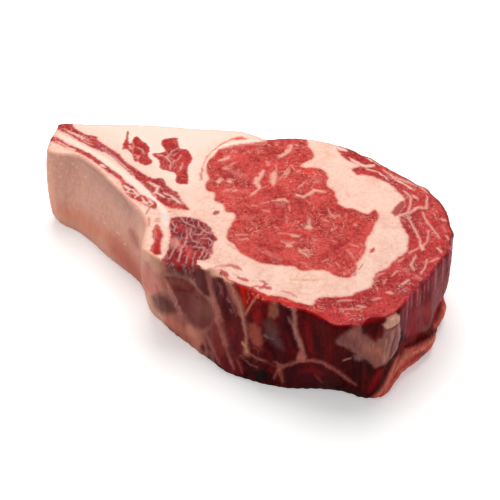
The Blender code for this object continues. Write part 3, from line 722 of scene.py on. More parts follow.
def paint_side(coat, proud, shown, seen):
    """Lays the side's marks where the photograph shows them, standing out or sunk in."""
    for tint, wide, soft, strength, rise, points in SIDE_MARKS:
        inside = stroke(shown, points, wide) if wide else patch(shown, points)
        lay(coat, colour(*tint) * SIDE_GAIN, inside, soft, strength * seen)
        proud += rise * smooth(inside / soft) * seen


def border_gap(plan, loops):
    """Distance from each plan point to the nearest border with another soft tissue."""
    loops = [loop for loop in loops if loop is not BONE_LOOP]
    if not loops:
        return np.full(len(plan), FAR_INSIDE)
    border = kdtree.KDTree(sum(len(loop) for loop in loops))
    for x, y in np.vstack(loops):
        border.insert((x, y, 0.0), 0)
    border.balance()
    return np.array([border.find((x, y, 0.0))[2] for x, y in plan])


def make_tissue(name, node, loops, belongs, slabs, marks, material, step=FINE_STEP):
    """One tissue of the steak as a closed mesh with its marks, riding on the body."""
    plan, faces = fine_sheet(loops + [SIDE], lambda p: is_inside(p, SIDE) & belongs(p), step)
    in_bone = is_inside(plan[faces].mean(axis=1), BONE_LOOP)
    filled = np.where(in_bone[:, None], slabs[1], slabs[0])
    owner, z, rim, near, depth, solid = slab_solid(plan, faces, filled)
    used = np.unique(np.concatenate([np.array(f) for f in solid]))
    new_number = np.full(len(owner), -1)
    new_number[used] = np.arange(len(used))
    owner, z = owner[used], z[used]
    near, depth, flat = near[owner], depth[owner], plan[owner]
    flank = np.isin(owner, rim)
    top = z > THICKNESS - 1
    wobble = wander(np.column_stack([flat, z]))
    coat = np.zeros((len(flat), 4))
    lift = np.zeros(len(flat))
    on_face = ~flank & (top | (z < 1))
    above = in_photo(settle(flat, THICKNESS + 0 * z, near, depth, 0 * z)) + FACE_WANDER * wobble
    for spots, group in zip((flat + wobble, above), marks):
        paint_face(coat, lift, spots, group, on_face, top, wobble)
    proud = np.zeros(len(flat))
    seen = flank * smooth((-RIM_NORMAL[near, 1] - SEEN_FROM) / SEEN_FADE)
    side = np.flatnonzero(seen > 0.01)
    if len(side):
        shown = in_photo(settle(flat[side], z[side], near[side], depth[side], proud[side]))
        shown += SIDE_WANDER * wobble[side]
        side_coat, side_proud = coat[side], proud[side]
        paint_side(side_coat, side_proud, shown, seen[side])
        coat[side], proud[side] = side_coat, side_proud
    upright = np.column_stack([RIM_RUN[near] / STREAK_WIDTH, z / STREAK_HEIGHT, 0 * z])
    proud += flank * (slabs[2] * noise_at(upright, 1.0, 5) + SIDE_GRAIN * wobble[:, 0])
    placed = settle(flat, z, near, depth, proud)
    placed[:, 2] += np.where(top, lift + FACE_GRAIN * wobble[:, 0], 0)
    mesh = bpy.data.meshes.new(name)
    mesh.from_pydata((placed * MM).tolist(), [], [new_number[list(f)].tolist() for f in solid])
    paint = mesh.attributes.new("coat", "FLOAT_COLOR", "POINT")
    paint.data.foreach_set("color", coat.astype(np.float32).ravel())
    on_side = flank * (HIDDEN_SIDE + (1 - HIDDEN_SIDE) * seen)
    for label, values in (("flank", on_side), ("edge", border_gap(plan, loops)[owner])):
        mesh.attributes.new(label, "FLOAT", "POINT").data.foreach_set("value", values.astype(np.float32))
    mesh.shade_smooth()
    mesh.set_sharp_from_angle(angle=CREASE)
    mesh.materials.append(material)
    piece = bpy.data.objects.new(name, mesh)
    bpy.context.scene.collection.objects.link(piece)
    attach(piece, "root")
    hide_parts(node)
    return piece


# Which of the three layers a tissue fills, outside the rib's plan and inside it, and how deep the
# upright streaks on its side are
WHOLE = ((True, True, True), (True, True, True), 0.14)
OVER_AND_UNDER = ((True, True, True), (True, False, True), 0.12)
OVER_BONE = ((False, False, True), (False, False, True), 0.12)
UNDER_BONE = ((True, False, False), (True, False, False), 0.12)
BONE_ONLY = ((False, False, False), (False, True, False), 0.04)


def add(tree, kind, inputs=None, **settings):
    """One shader node with its settings, and its inputs set or linked."""
    made = tree.nodes.new("ShaderNode" + kind)
    for label, value in settings.items():
        setattr(made, label, value)
    for key, value in (inputs or {}).items():
        if isinstance(value, bpy.types.NodeSocket):
            tree.links.new(value, made.inputs[key])
        else:
            made.inputs[key].default_value = value
    return made


def new_group(name, inputs, outputs):
    """An empty shader group with its sockets; returns it with its input and output nodes."""
    group = bpy.data.node_groups.new(name, "ShaderNodeTree")
    for label, kind in inputs:
        group.interface.new_socket(label, in_out="INPUT", socket_type="NodeSocket" + kind)
    for label, kind in outputs:
        group.interface.new_socket(label, in_out="OUTPUT", socket_type="NodeSocket" + kind)
    return group, group.nodes.new("NodeGroupInput"), group.nodes.new("NodeGroupOutput")


def grain(tree, place, scale, detail=2.0, rough=0.5, bend=0.0):
    """Cloudy value from 0 to 1 with features of about 1 / scale millimetres."""
    settings = {"Vector": place, "Scale": scale, "Detail": detail, "Roughness": rough, "Distortion": bend}
    return add(tree, "TexNoise", settings).outputs["Fac"]


def ramp(tree, value, low, high, out_low=0.0, out_high=1.0):
    """Smooth step of a value between two limits."""
    limits = {"Value": value, "From Min": low, "From Max": high, "To Min": out_low, "To Max": out_high}
    return add(tree, "MapRange", limits, interpolation_type="SMOOTHSTEP").outputs["Result"]


def blend(tree, share, first, second):
    """Colour between two colours."""
    made = add(tree, "Mix", data_type="RGBA")
    for key, value in ((0, share), (6, first), (7, second)):
        if isinstance(value, bpy.types.NodeSocket):
            tree.links.new(value, made.inputs[key])
        else:
            made.inputs[key].default_value = value
    return made.outputs[2]


def calc(tree, operation, first, second=0.5, third=None):
    """One sum on values."""
    made = add(tree, "Math", {0: first, 1: second}, operation=operation)
    if third is not None:
        made.inputs[2].default_value = third
    return made.outputs[0]


def rgba(red, green, blue):
    """The same colour as colour() gives, for a shader socket."""
    return (*colour(red, green, blue), 1.0)


def scaled(tree, place, factors):
    """The place stretched along each axis, so that what is drawn from it is stretched too."""
    return add(tree, "VectorMath", {0: place, 1: factors}, operation="MULTIPLY").outputs[0]


def thread_lines(tree, place, scale, width, bend=0.8):
    """1 along wandering threads of the given share of the noise, 0 away from them."""
    gap = calc(tree, "ABSOLUTE", calc(tree, "SUBTRACT", grain(tree, place, scale, 3.0, 0.6, bend)))
    return ramp(tree, gap, 0.0, width, 1.0, 0.0)


# Grain of the meat, in features per millimetre: broad clouds, mottling, and the bite of its fibres
MEAT_CLOUDS = 0.085
MEAT_MOTTLES = 0.42
MEAT_BITE = 1.5
MEAT_BUNDLES = 0.62

lean_meat, entry, leave = new_group(
    "lean_meat",
    [("Place", "Vector"), ("Dark", "Color"), ("Light", "Color"), ("Fat", "Color"), ("Flecks", "Float")],
    [("Color", "Color"), ("Height", "Float")],
)
place = entry.outputs["Place"]
cloud = grain(lean_meat, place, MEAT_CLOUDS, 2.0)
mottle = grain(lean_meat, place, MEAT_MOTTLES, 3.0, 0.6)
bite = grain(lean_meat, place, MEAT_BITE, 3.0, 0.6)
tone = calc(lean_meat, "MULTIPLY_ADD", cloud, 1.3, -0.15)
tone = calc(lean_meat, "ADD", tone, calc(lean_meat, "MULTIPLY_ADD", mottle, 1.6, -0.8))
tone = calc(lean_meat, "ADD", tone, calc(lean_meat, "MULTIPLY_ADD", bite, 1.3, -0.65))
flesh = blend(lean_meat, ramp(lean_meat, tone, 0.0, 1.0), entry.outputs["Dark"], entry.outputs["Light"])
bundles = add(lean_meat, "TexVoronoi", {"Vector": place, "Scale": MEAT_BUNDLES}, feature="DISTANCE_TO_EDGE")
sheath = ramp(lean_meat, bundles.outputs["Distance"], 0.02, 0.11, 1.0, 0.0)
some = ramp(lean_meat, grain(lean_meat, place, 0.3, 2.0), 0.42, 0.66, 0.0, 0.14)
sheath = calc(lean_meat, "MULTIPLY", sheath, some)
patchy = ramp(lean_meat, grain(lean_meat, place, 0.11, 2.0, 0.6), 0.46, 0.64)
thread = calc(lean_meat, "MULTIPLY", thread_lines(lean_meat, place, 0.24, 0.02), patchy)
speck = ramp(lean_meat, grain(lean_meat, place, 1.1, 2.0, 0.5, 1.2), 0.6, 0.7)
speck = calc(lean_meat, "MULTIPLY", speck, calc(lean_meat, "MULTIPLY_ADD", patchy, 0.6, 0.38))
fleck = calc(lean_meat, "MAXIMUM", calc(lean_meat, "MAXIMUM", thread, speck), sheath)
fleck = calc(lean_meat, "MULTIPLY", fleck, entry.outputs["Flecks"])
lean_meat.links.new(blend(lean_meat, fleck, flesh, entry.outputs["Fat"]), leave.inputs["Color"])
relief = calc(lean_meat, "ADD", calc(lean_meat, "MULTIPLY", mottle, 0.6), bite)
relief = calc(lean_meat, "ADD", relief, calc(lean_meat, "MULTIPLY", fleck, 0.5))
lean_meat.links.new(relief, leave.inputs["Height"])

# Wet side of the steak: upright fibres that vary both its brightness and its shine
side_fibre, entry, leave = new_group(
    "side_fibre", [("Place", "Vector")], [("Factor", "Float"), ("Height", "Float")]
)
upright = scaled(side_fibre, entry.outputs["Place"], (1.0, 1.0, 0.14))
coarse = grain(side_fibre, scaled(side_fibre, entry.outputs["Place"], (1.0, 1.0, 0.4)), 0.22, 3.0, 0.6)
fibre = grain(side_fibre, upright, 0.95, 4.0, 0.65)
total = calc(side_fibre, "ADD", calc(side_fibre, "MULTIPLY", coarse, 0.9), fibre)
side_fibre.links.new(ramp(side_fibre, total, 0.62, 1.3, 0.45, 1.5), leave.inputs["Factor"])
relief = calc(side_fibre, "ADD", fibre, calc(side_fibre, "MULTIPLY", coarse, 0.8))
side_fibre.links.new(relief, leave.inputs["Height"])

# Depth of the bumps in metres, and how the meat shines and its fibres stand
BUMP_DEPTH = 0.0006
LEAN_SPECULAR = 0.06
LEAN_FIBRES = 0.5
STANDING_FIBRES = (1.0, 1.0, 0.16)


def painted_side(tree, shader, colours, height, on_side, place, fibre_share, roughness, bump):
    """Joins a tissue's own colour, its marks and the side's fibres, and gives it its relief."""
    coat = add(tree, "Attribute", attribute_name="coat")
    fibres = add(tree, "Group", {"Place": place}, node_tree=side_fibre)
    bare = blend(tree, coat.outputs["Alpha"], colours, (0, 0, 0, 1))
    marked = add(tree, "VectorMath", {0: bare, 1: coat.outputs["Color"]}, operation="ADD").outputs[0]
    share = calc(tree, "MULTIPLY", on_side, fibre_share)
    factor = calc(tree, "MULTIPLY_ADD", calc(tree, "SUBTRACT", fibres.outputs["Factor"], 1.0), share, 1.0)
    shown = add(tree, "VectorMath", {0: marked}, operation="SCALE")
    tree.links.new(factor, shown.inputs["Scale"])
    tree.links.new(shown.outputs[0], shader.inputs["Base Color"])
    heights = {0: on_side, 2: height, 3: fibres.outputs["Height"]}
    rise = add(tree, "Mix", heights, data_type="FLOAT").outputs[0]
    relief = add(tree, "Bump", {"Height": rise, "Strength": bump, "Distance": BUMP_DEPTH})
    tree.links.new(relief.outputs["Normal"], shader.inputs["Normal"])
    shader.inputs["Roughness"].default_value = roughness


def tissue_nodes(name):
    """A new material with what every tissue needs: shader, place in millimetres, side and edge."""
    material = bpy.data.materials.new(name)
    material.use_nodes = True
    tree = material.node_tree
    object_place = add(tree, "TexCoord").outputs["Object"]
    place = add(tree, "VectorMath", {0: object_place, "Scale": 1 / MM}, operation="SCALE").outputs[0]
    on_side = add(tree, "Attribute", attribute_name="flank").outputs["Fac"]
    edge = add(tree, "Attribute", attribute_name="edge").outputs["Fac"]
    return material, tree, tree.nodes["Principled BSDF"], place, on_side, edge


def meat_colours(tree, place, dark, light, fat, flecks):
    """The meat group placed in a material with one set of colours."""
    inputs = {"Place": place, "Flecks": flecks}
    inputs.update(Dark=rgba(*dark), Light=rgba(*light), Fat=rgba(*fat))
    return add(tree, "Group", inputs, node_tree=lean_meat)


def lean_material(name, face, flank, fat, flecks, roughness, bump, net=False):
    """Raw meat: a bright cut face, a darker wet side, and the marks that the piece carries. Face and
    side each have a dark and a light colour, and fat has one colour for either."""
    material, tree, shader, place, on_side, edge = tissue_nodes(name)
    cut = meat_colours(tree, place, *face, fat[0], flecks)
    wall = meat_colours(tree, scaled(tree, place, STANDING_FIBRES), *flank, fat[1], 0.3)
    face_colour = cut.outputs["Color"]
    if net:
        mesh = add(tree, "Group", {"Place": place, "Base": face_colour}, node_tree=strand_net)
        face_colour = mesh.outputs["Color"]
    rim_pale = ramp(tree, edge, 0.1, 1.1, 0.35, 0.0)
    face_colour = blend(tree, rim_pale, face_colour, rgba(*fat[0]))
    colours = blend(tree, on_side, face_colour, wall.outputs["Color"])
    height = cut.outputs["Height"]
    painted_side(tree, shader, colours, height, on_side, place, LEAN_FIBRES, roughness, bump)
    shader.inputs["Specular IOR Level"].default_value = LEAN_SPECULAR
    return material


VEIN_SEEN = (242, 184, 166)
# Marks by the steak's plan, in millimetres, in the order of the side's marks
EYE_MARKS = [
    (VEIN_SEEN, 3.0, 1.1, 0.8, 0.15, [(7.5, 37.5), (3, 27.5), (5.5, 22.5)]),
    (VEIN_SEEN, 1.4, 0.8, 0.65, 0.1, [(5.5, 22.5), (2, 18), (0, 15.5)]),
    (VEIN_SEEN, 3.2, 1.1, 0.75, 0.1, [(13.5, 37), (12.5, 25)]),
    (VEIN_SEEN, 2.6, 0.9, 0.75, 0.1, [(16, 50), (21, 55), (23.5, 62)]),
    (VEIN_SEEN, 2.2, 0.9, 0.75, 0.1, [(25, 16), (28, 14), (32, 16.3), (34.5, 19.6), (41, 18)]),
    (VEIN_SEEN, 1.6, 0.9, 0.75, 0.1, [(12, 11), (18.5, 12), (20, 9.5)]),
    (VEIN_SEEN, 3.4, 1.1, 0.75, 0.1, [(29.5, -11), (32.5, -11)]),
    (VEIN_SEEN, 1.6, 0.8, 0.65, 0.1, [(31, -11), (31.5, -3.5)]),
    (VEIN_SEEN, 1.6, 0.8, 0.65, 0.1, [(21, -17), (25.5, -18)]),
    (VEIN_SEEN, 2.4, 0.7, 0.7, 0.1, [(19, -25), (22, -25)]),
    (VEIN_SEEN, 1.6, 0.8, 0.65, 0.1, [(25.5, -28), (30, -33)]),
    (VEIN_SEEN, 3.0, 0.6, 0.8, 0.1, [(-18, 28), (-16, 28)]),
    (VEIN_SEEN, 2.4, 0.6, 0.8, 0.1, [(-12, 28), (-10, 28)]),
    (VEIN_SEEN, 1.6, 0.8, 0.65, 0.1, [(-9.5, 19.7), (-6.5, 21.3)]),
    (VEIN_SEEN, 2.0, 0.9, 0.75, 0.1, [(-17.5, 45), (-12.5, 47.7), (-12, 49.5)]),
    (VEIN_SEEN, 1.6, 0.8, 0.65, 0.1, [(-14.5, 38.6), (-11, 38.7)]),
    (VEIN_SEEN, 2.0, 0.8, 0.65, 0.1, [(9, 43), (11, 43)]),
    (VEIN_SEEN, 1.2, 0.8, 0.65, 0.1, [(19, 31.5), (22, 38.7)]),
    ((120, 30, 30), 0.8, 0.5, 0.8, -0.2, [(-5.5, 53), (-2, 56)]),
]
# Strokes by the photograph's pixels: a width, then the points
EYE_VEINS = [
    (1.2, [(218.5, 160.5), (223.5, 159.5), (227.5, 159), (228.5, 156.5)]),
    (1.3, [(222, 168), (229.5, 166), (235.5, 162)]), (1.0, [(215, 175), (220.5, 176)]),
    (2.4, [(218.5, 179.5), (223.5, 180)]), (1.6, [(227, 178.5), (233.5, 180)]),
    (1.2, [(223.5, 191.5), (230.5, 189.5), (235.5, 187)]),
    (0.9, [(276.5, 164), (276, 170), (277, 176)]),
    (1.3, [(289, 167), (284.5, 174), (278.5, 180.5)]), (1.5, [(266, 161.5), (270, 163)]),
    (1.0, [(292, 150), (285.5, 153)]), (1.2, [(315.5, 190.5), (326.5, 191.5)]),
    (1.6, [(306, 181.5), (301, 185.5), (298, 188.5)]), (1.0, [(261, 204), (269.5, 201.5)]),
    (0.9, [(252, 205), (258, 206.5)]), (1.0, [(262, 210), (269.5, 211.5)]),
    (1.2, [(289, 204), (290, 211)]), (1.0, [(286.5, 215), (287, 223)]),
    (1.5, [(327.5, 207), (330, 214), (333.5, 217), (340, 215.5)]), (1.0, [(320.5, 218), (328.5, 222)]),
    (1.8, [(288, 234), (299, 236)]), (1.0, [(277.5, 233.5), (286.5, 233.5)]),
    (1.5, [(281.5, 241.5), (289, 244.5), (295, 242)]), (1.8, [(298, 250.5), (308, 250.5), (310, 256)]),
    (1.4, [(238, 239.5), (249, 239.5)]), (1.1, [(235.5, 234.5), (248, 235)]),
    (1.0, [(227.5, 236.5), (232.5, 235.5)]),
    (1.2, [(274.5, 227), (278.5, 228.5)]), (1.2, [(312, 237.5), (315, 241)]),
    (1.3, [(332.5, 240.5), (335, 241.5)]),
    (0.9, [(307, 200.5), (310.5, 204.5)]), (1.2, [(248, 150.5), (250, 153.5)]),
    (1.1, [(268, 144.5), (270.5, 145.5)]),
    (1.1, [(275, 144.5), (278, 145)]), (1.0, [(295, 144.5), (298.5, 145.5)]),
    (1.0, [(302, 145.5), (305, 148.5)]),
    (1.2, [(292, 166), (295, 170.5)]), (1.1, [(297, 171.5), (300.5, 170.5)]),
    (1.0, [(313, 182.5), (317.5, 181.5)]),
    (1.8, [(354, 225), (357.5, 225.5)]), (1.3, [(350, 244), (358.5, 247)]),
    (1.2, [(360.5, 244), (363.5, 246)]),
    (1.1, [(346.5, 250.5), (352, 254.5), (354, 259)]), (1.2, [(343, 273), (345.5, 274.5)]),
    (0.9, [(363, 249), (359.5, 253.5)]), (1.0, [(322, 262), (328, 259)]),
    (0.9, [(300, 262), (306, 264)]),
    (1.0, [(336, 262), (339, 267)]), (0.9, [(318, 270), (324, 272)]), (1.0, [(330, 231), (337, 228)]),
]
EYE_VEILS = [
    (3.0, [(244, 190.5), (248.5, 190)]), (3.4, [(275.5, 205), (285.5, 205)]),
    (4.4, [(309, 216), (308, 223.5)]),
    (3.0, [(284.5, 241.5), (296, 242.5)]), (4.4, [(264, 251.5), (281.5, 260)]),
    (4.0, [(223.5, 168), (245, 176)]),
    (3.6, [(311, 176), (320.5, 181.5)]), (4.0, [(206, 176), (213, 182)]),
    (2.4, [(241, 218), (255.5, 217)]),
]
EYE_DARKS = [
    (1.2, [(238, 155), (244, 150), (255, 145.5)]), (6.0, [(256, 243.5), (281.5, 250.5)]),
    (3.4, [(265.5, 192.5), (271.5, 190.5)]), (4.0, [(320.5, 205), (326.5, 201.5)]),
    (5.0, [(330, 250), (350, 240)]),
]
EYE_BRIGHTS = [
    (4.4, [(260, 164), (270.5, 166)]), (4.4, [(300, 170), (315.5, 172)]),
    (5.0, [(302, 232), (313, 233.5)]),
    (3.5, [(280.5, 236), (291, 238.5)]), (4.0, [(234.5, 223), (241, 226)]),
    (3.5, [(243, 144.5), (251, 145.5)]),
]
EYE_SEEN = [
    *brush((226, 62, 50), 0.5, 3.0, 0.0, EYE_BRIGHTS),
    *brush((140, 20, 24), 0.5, 2.0, -0.05, EYE_DARKS),
    *brush((214, 120, 112), 0.5, 2.5, 0.0, EYE_VEILS),
    *brush((236, 160, 146), 0.7, 1.3, 0.08, EYE_VEINS),
]
EYE_LOOP = ragged(EYE_MUSCLE, 0.34, 11)
eye_finish = lean_material(
    "eye_lean", face=((156, 22, 26), (218, 79, 73)), flank=((60, 2, 5), (112, 8, 14)),
    fat=((244, 186, 168), (120, 50, 46)), flecks=0.8, roughness=0.42, bump=0.5,
)
make_tissue(
    "eye_muscle_meat", "eye_muscle", [EYE_LOOP], lambda p: is_inside(p, EYE_LOOP), WHOLE,
    (EYE_MARKS, EYE_SEEN), eye_finish, MEAT_STEP,
)

# Cap muscle: the loose muscle that wraps the eye from the back right round to the front edge. Its
# outer side was trimmed bare, so it is dark, wet and streaked, with torn silverskin left on it.
CAP_MUSCLE = [
    (50, 60), (51.7, 50), (57, 44.5), (61, 41.5), (57, 39.5), (56.4, 38), (58.7, 33.6), (63, 34),
    (68.7, 31.6), (74.5, 27.7), (77.4, 24.4), (79, 21.6), (82.6, 15), (82.5, 7.5), (80, 3), (79, -1),
    (79.4, -3.4), (80, -9.7), (82.6, -17.6), (81.4, -24.6), (81.3, -28.4), (77, -32.7),
    (72.6, -37.4), (70.6, -40.7), (67, -43.2), (64, -45.7), (62, -50), (61.5, -53.8),
    (58.4, -56.8), (52.5, -59.3), (50, -61.7), (41.6, -62.3), (35, -62.9), (32.4, -64.7),
    (30, -69), (23, -66), (18, -63), (12, -61.5), (5, -60), (0, -57), (-5, -54.5), (-10, -50),
    (-16, -46), (-19, -46), (-22, -58), (-8, -86), (30, -104), (80, -104), (120, -60), (132, 0),
    (112, 40), (80, 62), (60, 66),
]
CAP_MARKS = [
    ((246, 196, 178), 0.9, 0.8, 0.5, 0.1, [(44, -71), (55, -71)]),
]
CAP_SEAMS = [
    (1.6, [(351.5, 159), (363, 166), (374.5, 166)]),
    (1.5, [(383.5, 170.5), (395, 177.5), (419, 186), (427, 192.5)]),
    (1.8, [(404, 191), (411, 198), (410, 206), (408, 212)]),
    (2.2, [(396.5, 216.5), (409, 213), (418, 207.5), (427.5, 208.5)]),
    (1.9, [(427.5, 197), (426, 207.5)]), (2.4, [(412, 195), (418, 199.5)]),
    (1.8, [(408, 217.5), (413.5, 227), (419.5, 238.5), (422, 250)]),
    (1.6, [(422.5, 212), (426, 221), (432, 228), (440, 238.5)]),
    (1.2, [(428.5, 230.5), (427.5, 240.5), (422.5, 247.5)]),
    (3.0, [(420.5, 246), (424, 249.5)]), (1.1, [(409, 253), (419.5, 247.5)]),
    (1.9, [(416, 255.5), (411, 264.5), (414.5, 270.5)]), (1.3, [(427, 259), (425, 268), (420.5, 274)]),
    (2.0, [(437, 248), (442, 252)]), (2.0, [(387, 292), (393, 293.5)]),
    (1.7, [(401.5, 284.5), (409, 280)]),
    (1.5, [(441, 219), (446, 220.5)]), (1.2, [(446, 236), (449, 240)]), (1.0, [(331, 297), (347, 295)]),
    (0.9, [(338, 301), (352, 300)]), (1.2, [(364, 287), (372, 284)]), (1.0, [(376, 276), (384, 273)]),
    (1.0, [(398, 262), (404, 258)]), (1.0, [(372, 300), (381, 298)]), (0.9, [(392, 276), (398, 271)]),
    (1.0, [(430, 262), (438, 258)]), (1.1, [(356, 306), (366, 307)]), (0.9, [(383, 284), (386, 279)]),
]
CAP_FAT = [
    (2.6, [(349, 158), (356, 162.5), (366, 166.5), (374.5, 165.5)]),
    (3.0, [(335, 147), (342, 149), (347, 151.5)]),
    (1.4, [(357, 152), (368, 158), (380, 165)]), (1.2, [(366, 169), (378, 172), (388, 179)]),
    (1.3, [(392, 178), (404, 184), (414, 190)]),
]
CAP_VEILS = [
    (3.5, [(415, 275.5), (424, 281)]), (3.0, [(404, 268), (409, 273)]), (2.6, [(443, 226), (446, 232)]),
]
CAP_DARKS = [
    (4.5, [(427, 225), (439, 226)]), (4.0, [(398, 205), (402, 211)]), (3.5, [(413, 219), (417, 230)]),
]
CAP_SEEN = [
    *brush((246, 200, 184), 0.95, 0.8, 0.05, CAP_FAT),
    *brush((150, 26, 34), 0.5, 2.0, 0.0, CAP_DARKS),
    *brush((224, 140, 132), 0.5, 2.0, 0.0, CAP_VEILS),
    *brush((241, 180, 164), 0.9, 1.4, 0.1, CAP_SEAMS),
    # bright wet rim along the front edge, with paler orange strokes on it that are painted highlights
    ((208, 34, 28), 4.5, 2.5, 0.8, 0.0, [(250, 292), (262, 296), (276, 300), (290, 303), (303, 309),
     (316, 314), (330, 319)]),
    ((232, 96, 66), 1.2, 0.8, 0.8, 0.1, [(262, 292), (267, 296), (274, 295)]),
    ((232, 96, 66), 1.2, 0.8, 0.8, 0.1, [(281, 299), (287, 302), (294, 301)]),
    ((226, 104, 84), 1.2, 0.8, 0.7, 0.1, [(308, 311), (314, 309), (322, 312)]),
]
CAP_LOOP = ragged(CAP_MUSCLE, 0.36, 12)
cap_finish = lean_material(
    "cap_lean", face=((146, 16, 24), (207, 62, 60)), flank=((56, 0, 3), (108, 5, 10)),
    fat=((240, 186, 176), (120, 50, 46)), flecks=0.9, roughness=0.4, bump=0.5,
)
make_tissue(
    "cap_muscle_meat", "cap_muscle", [CAP_LOOP], lambda p: is_inside(p, CAP_LOOP), WHOLE,
    (CAP_MARKS, CAP_SEEN), cap_finish, MEAT_STEP,
)

# Chine muscle: a small round dark muscle against the backbone side, purple and full of a net of
# pale connective tissue whose strands run over the front edge and down the side.
CHINE_MUSCLE = [
    (-40.2, -1.2), (-32.7, -1.2), (-25.9, -4), (-21.3, -8.7), (-18.8, -15.5), (-16.9, -19.4),
    (-19, -22.2), (-19.5, -31), (-22.6, -36), (-27, -36.5), (-28.3, -41.4), (-29, -56), (-46, -56),
    (-46, -38), (-43.2, -30), (-41.7, -19), (-42, -12), (-42.7, -7.5), (-41.9, -2.3),
]
CHINE_MARKS = [
    ((120, 48, 54), 8, 4, 0.4, -0.1, [(-36, -8), (-28, -12), (-24, -18)]),
]
CHINE_STRANDS = [
    (1.0, [(171, 221), (175.5, 226.5), (174, 231)]),
    (1.0, [(179.5, 216), (183.5, 221), (188.5, 224), (194.5, 226.5)]),
    (1.0, [(198, 221), (199.5, 226.5), (206, 232), (213, 233)]),
    (1.0, [(194, 234.5), (200.5, 234.5), (207.5, 226.5)]),
    (1.1, [(186, 230.5), (187.5, 237), (184.5, 244), (180.5, 252), (179, 262)]),
    (1.0, [(191.5, 228), (190, 234.5), (192.5, 241), (199.5, 242.5)]),
    (1.0, [(200.5, 238.5), (208.5, 238.5), (213, 241), (210, 247)]),
    (1.1, [(192.5, 246.5), (204.5, 248), (202, 254.5), (198, 259)]),
    (1.1, [(175.5, 238.5), (178, 244), (172.5, 252), (169.5, 259)]),
    (1.0, [(182, 245.5), (180.5, 254.5), (177.5, 260.5)]),
    (1.0, [(207.5, 249.5), (206, 256), (203, 259)]),
    (1.0, [(190.5, 250), (187, 258), (185, 266)]), (0.9, [(195, 252), (193, 260), (193, 268)]),
]
CHINE_REDS = [
    (2.2, [(171, 234.5), (175.5, 237.5)]), (2.6, [(198, 216), (206.5, 221)]),
    (2.2, [(214, 236), (215.5, 240)]),
    (2.4, [(168.5, 252), (174, 257.5)]), (2.6, [(187.5, 250.5), (190.5, 260.5)]),
    (2.4, [(191.5, 260), (188.5, 267)]),
    (2.4, [(177, 229), (183, 227)]), (2.2, [(200, 250), (199, 258)]), (2.2, [(182, 258), (183, 266)]),
]
CHINE_DARKS = [
    (3.0, [(174, 217.5), (182, 220)]), (4.6, [(198, 230.5), (207.5, 230.5)]),
    (3.0, [(190, 236), (198.5, 239)]),
    (3.0, [(188.5, 244), (198, 250.5)]), (2.6, [(178, 236), (182, 242)]),
]
CHINE_SEEN = [
    *brush((112, 44, 50), 0.55, 2.0, -0.1, CHINE_DARKS),
    *brush((196, 24, 28), 0.75, 1.2, -0.1, CHINE_REDS),
    ((130, 12, 18), 0, 2.0, 0.7, -0.1, [(166, 252), (174, 249), (184, 254), (187, 264), (182, 268),
     (172, 263)]),
    ((136, 10, 14), 0, 2.0, 0.8, -0.1, [(189, 258), (196, 254), (203, 256), (199, 265), (192, 270),
     (188, 265)]),
    *brush((222, 160, 152), 0.85, 0.9, 0.15, CHINE_STRANDS),
    ((224, 150, 140), 0, 2.5, 0.5, 0.1, [(169, 238), (175, 237), (180, 240), (178, 246), (172, 249),
     (169, 245)]),
    ((204, 72, 72), 0, 2.0, 0.6, 0.1, [(186, 248), (190, 246), (193, 250), (193, 258), (189, 260),
     (186, 255)]),
]

# Net of pale connective strands over dark cells, drawn out towards the front edge
NET_CELLS = 0.42
NET_CELL = (132, 38, 44)
NET_STRAND = (216, 164, 160)
strand_net, entry, leave = new_group(
    "strand_net", [("Place", "Vector"), ("Base", "Color")], [("Color", "Color")]
)
drawn = scaled(strand_net, entry.outputs["Place"], (1.0, 0.5, 0.25))
waver = add(strand_net, "TexNoise", {"Vector": drawn, "Scale": 0.35, "Detail": 2.0}).outputs["Color"]
drift = scaled(strand_net, waver, (2.6, 2.6, 2.6))
drawn = add(strand_net, "VectorMath", {0: drawn, 1: drift}, operation="ADD").outputs[0]
cells = add(strand_net, "TexVoronoi", {"Vector": drawn, "Scale": NET_CELLS}, feature="DISTANCE_TO_EDGE")
dark_cell = ramp(strand_net, grain(strand_net, entry.outputs["Place"], 0.12, 1.0), 0.40, 0.56)
cell = blend(strand_net, dark_cell, entry.outputs["Base"], rgba(*NET_CELL))
strand = ramp(strand_net, cells.outputs["Distance"], 0.03, 0.12, 0.4, 0.0)
some = ramp(strand_net, grain(strand_net, drawn, 0.5, 2.0), 0.34, 0.56)
strand = calc(strand_net, "MULTIPLY", strand, some)
strand_net.links.new(blend(strand_net, strand, cell, rgba(*NET_STRAND)), leave.inputs["Color"])

CHINE_LOOP = ragged(CHINE_MUSCLE, 0.4, 13)
chine_finish = lean_material(
    "chine_lean", face=((140, 22, 28), (198, 60, 58)), flank=((84, 10, 14), (140, 34, 34)),
    fat=((224, 168, 158), (150, 80, 72)), flecks=0.5, roughness=0.4, bump=0.6, net=True,
)
make_tissue(
    "chine_muscle_meat", "chine_muscle", [CHINE_LOOP, BONE_LOOP],
    lambda p: is_inside(p, CHINE_LOOP), OVER_AND_UNDER, (CHINE_MARKS, CHINE_SEEN), chine_finish, MEAT_STEP,
)

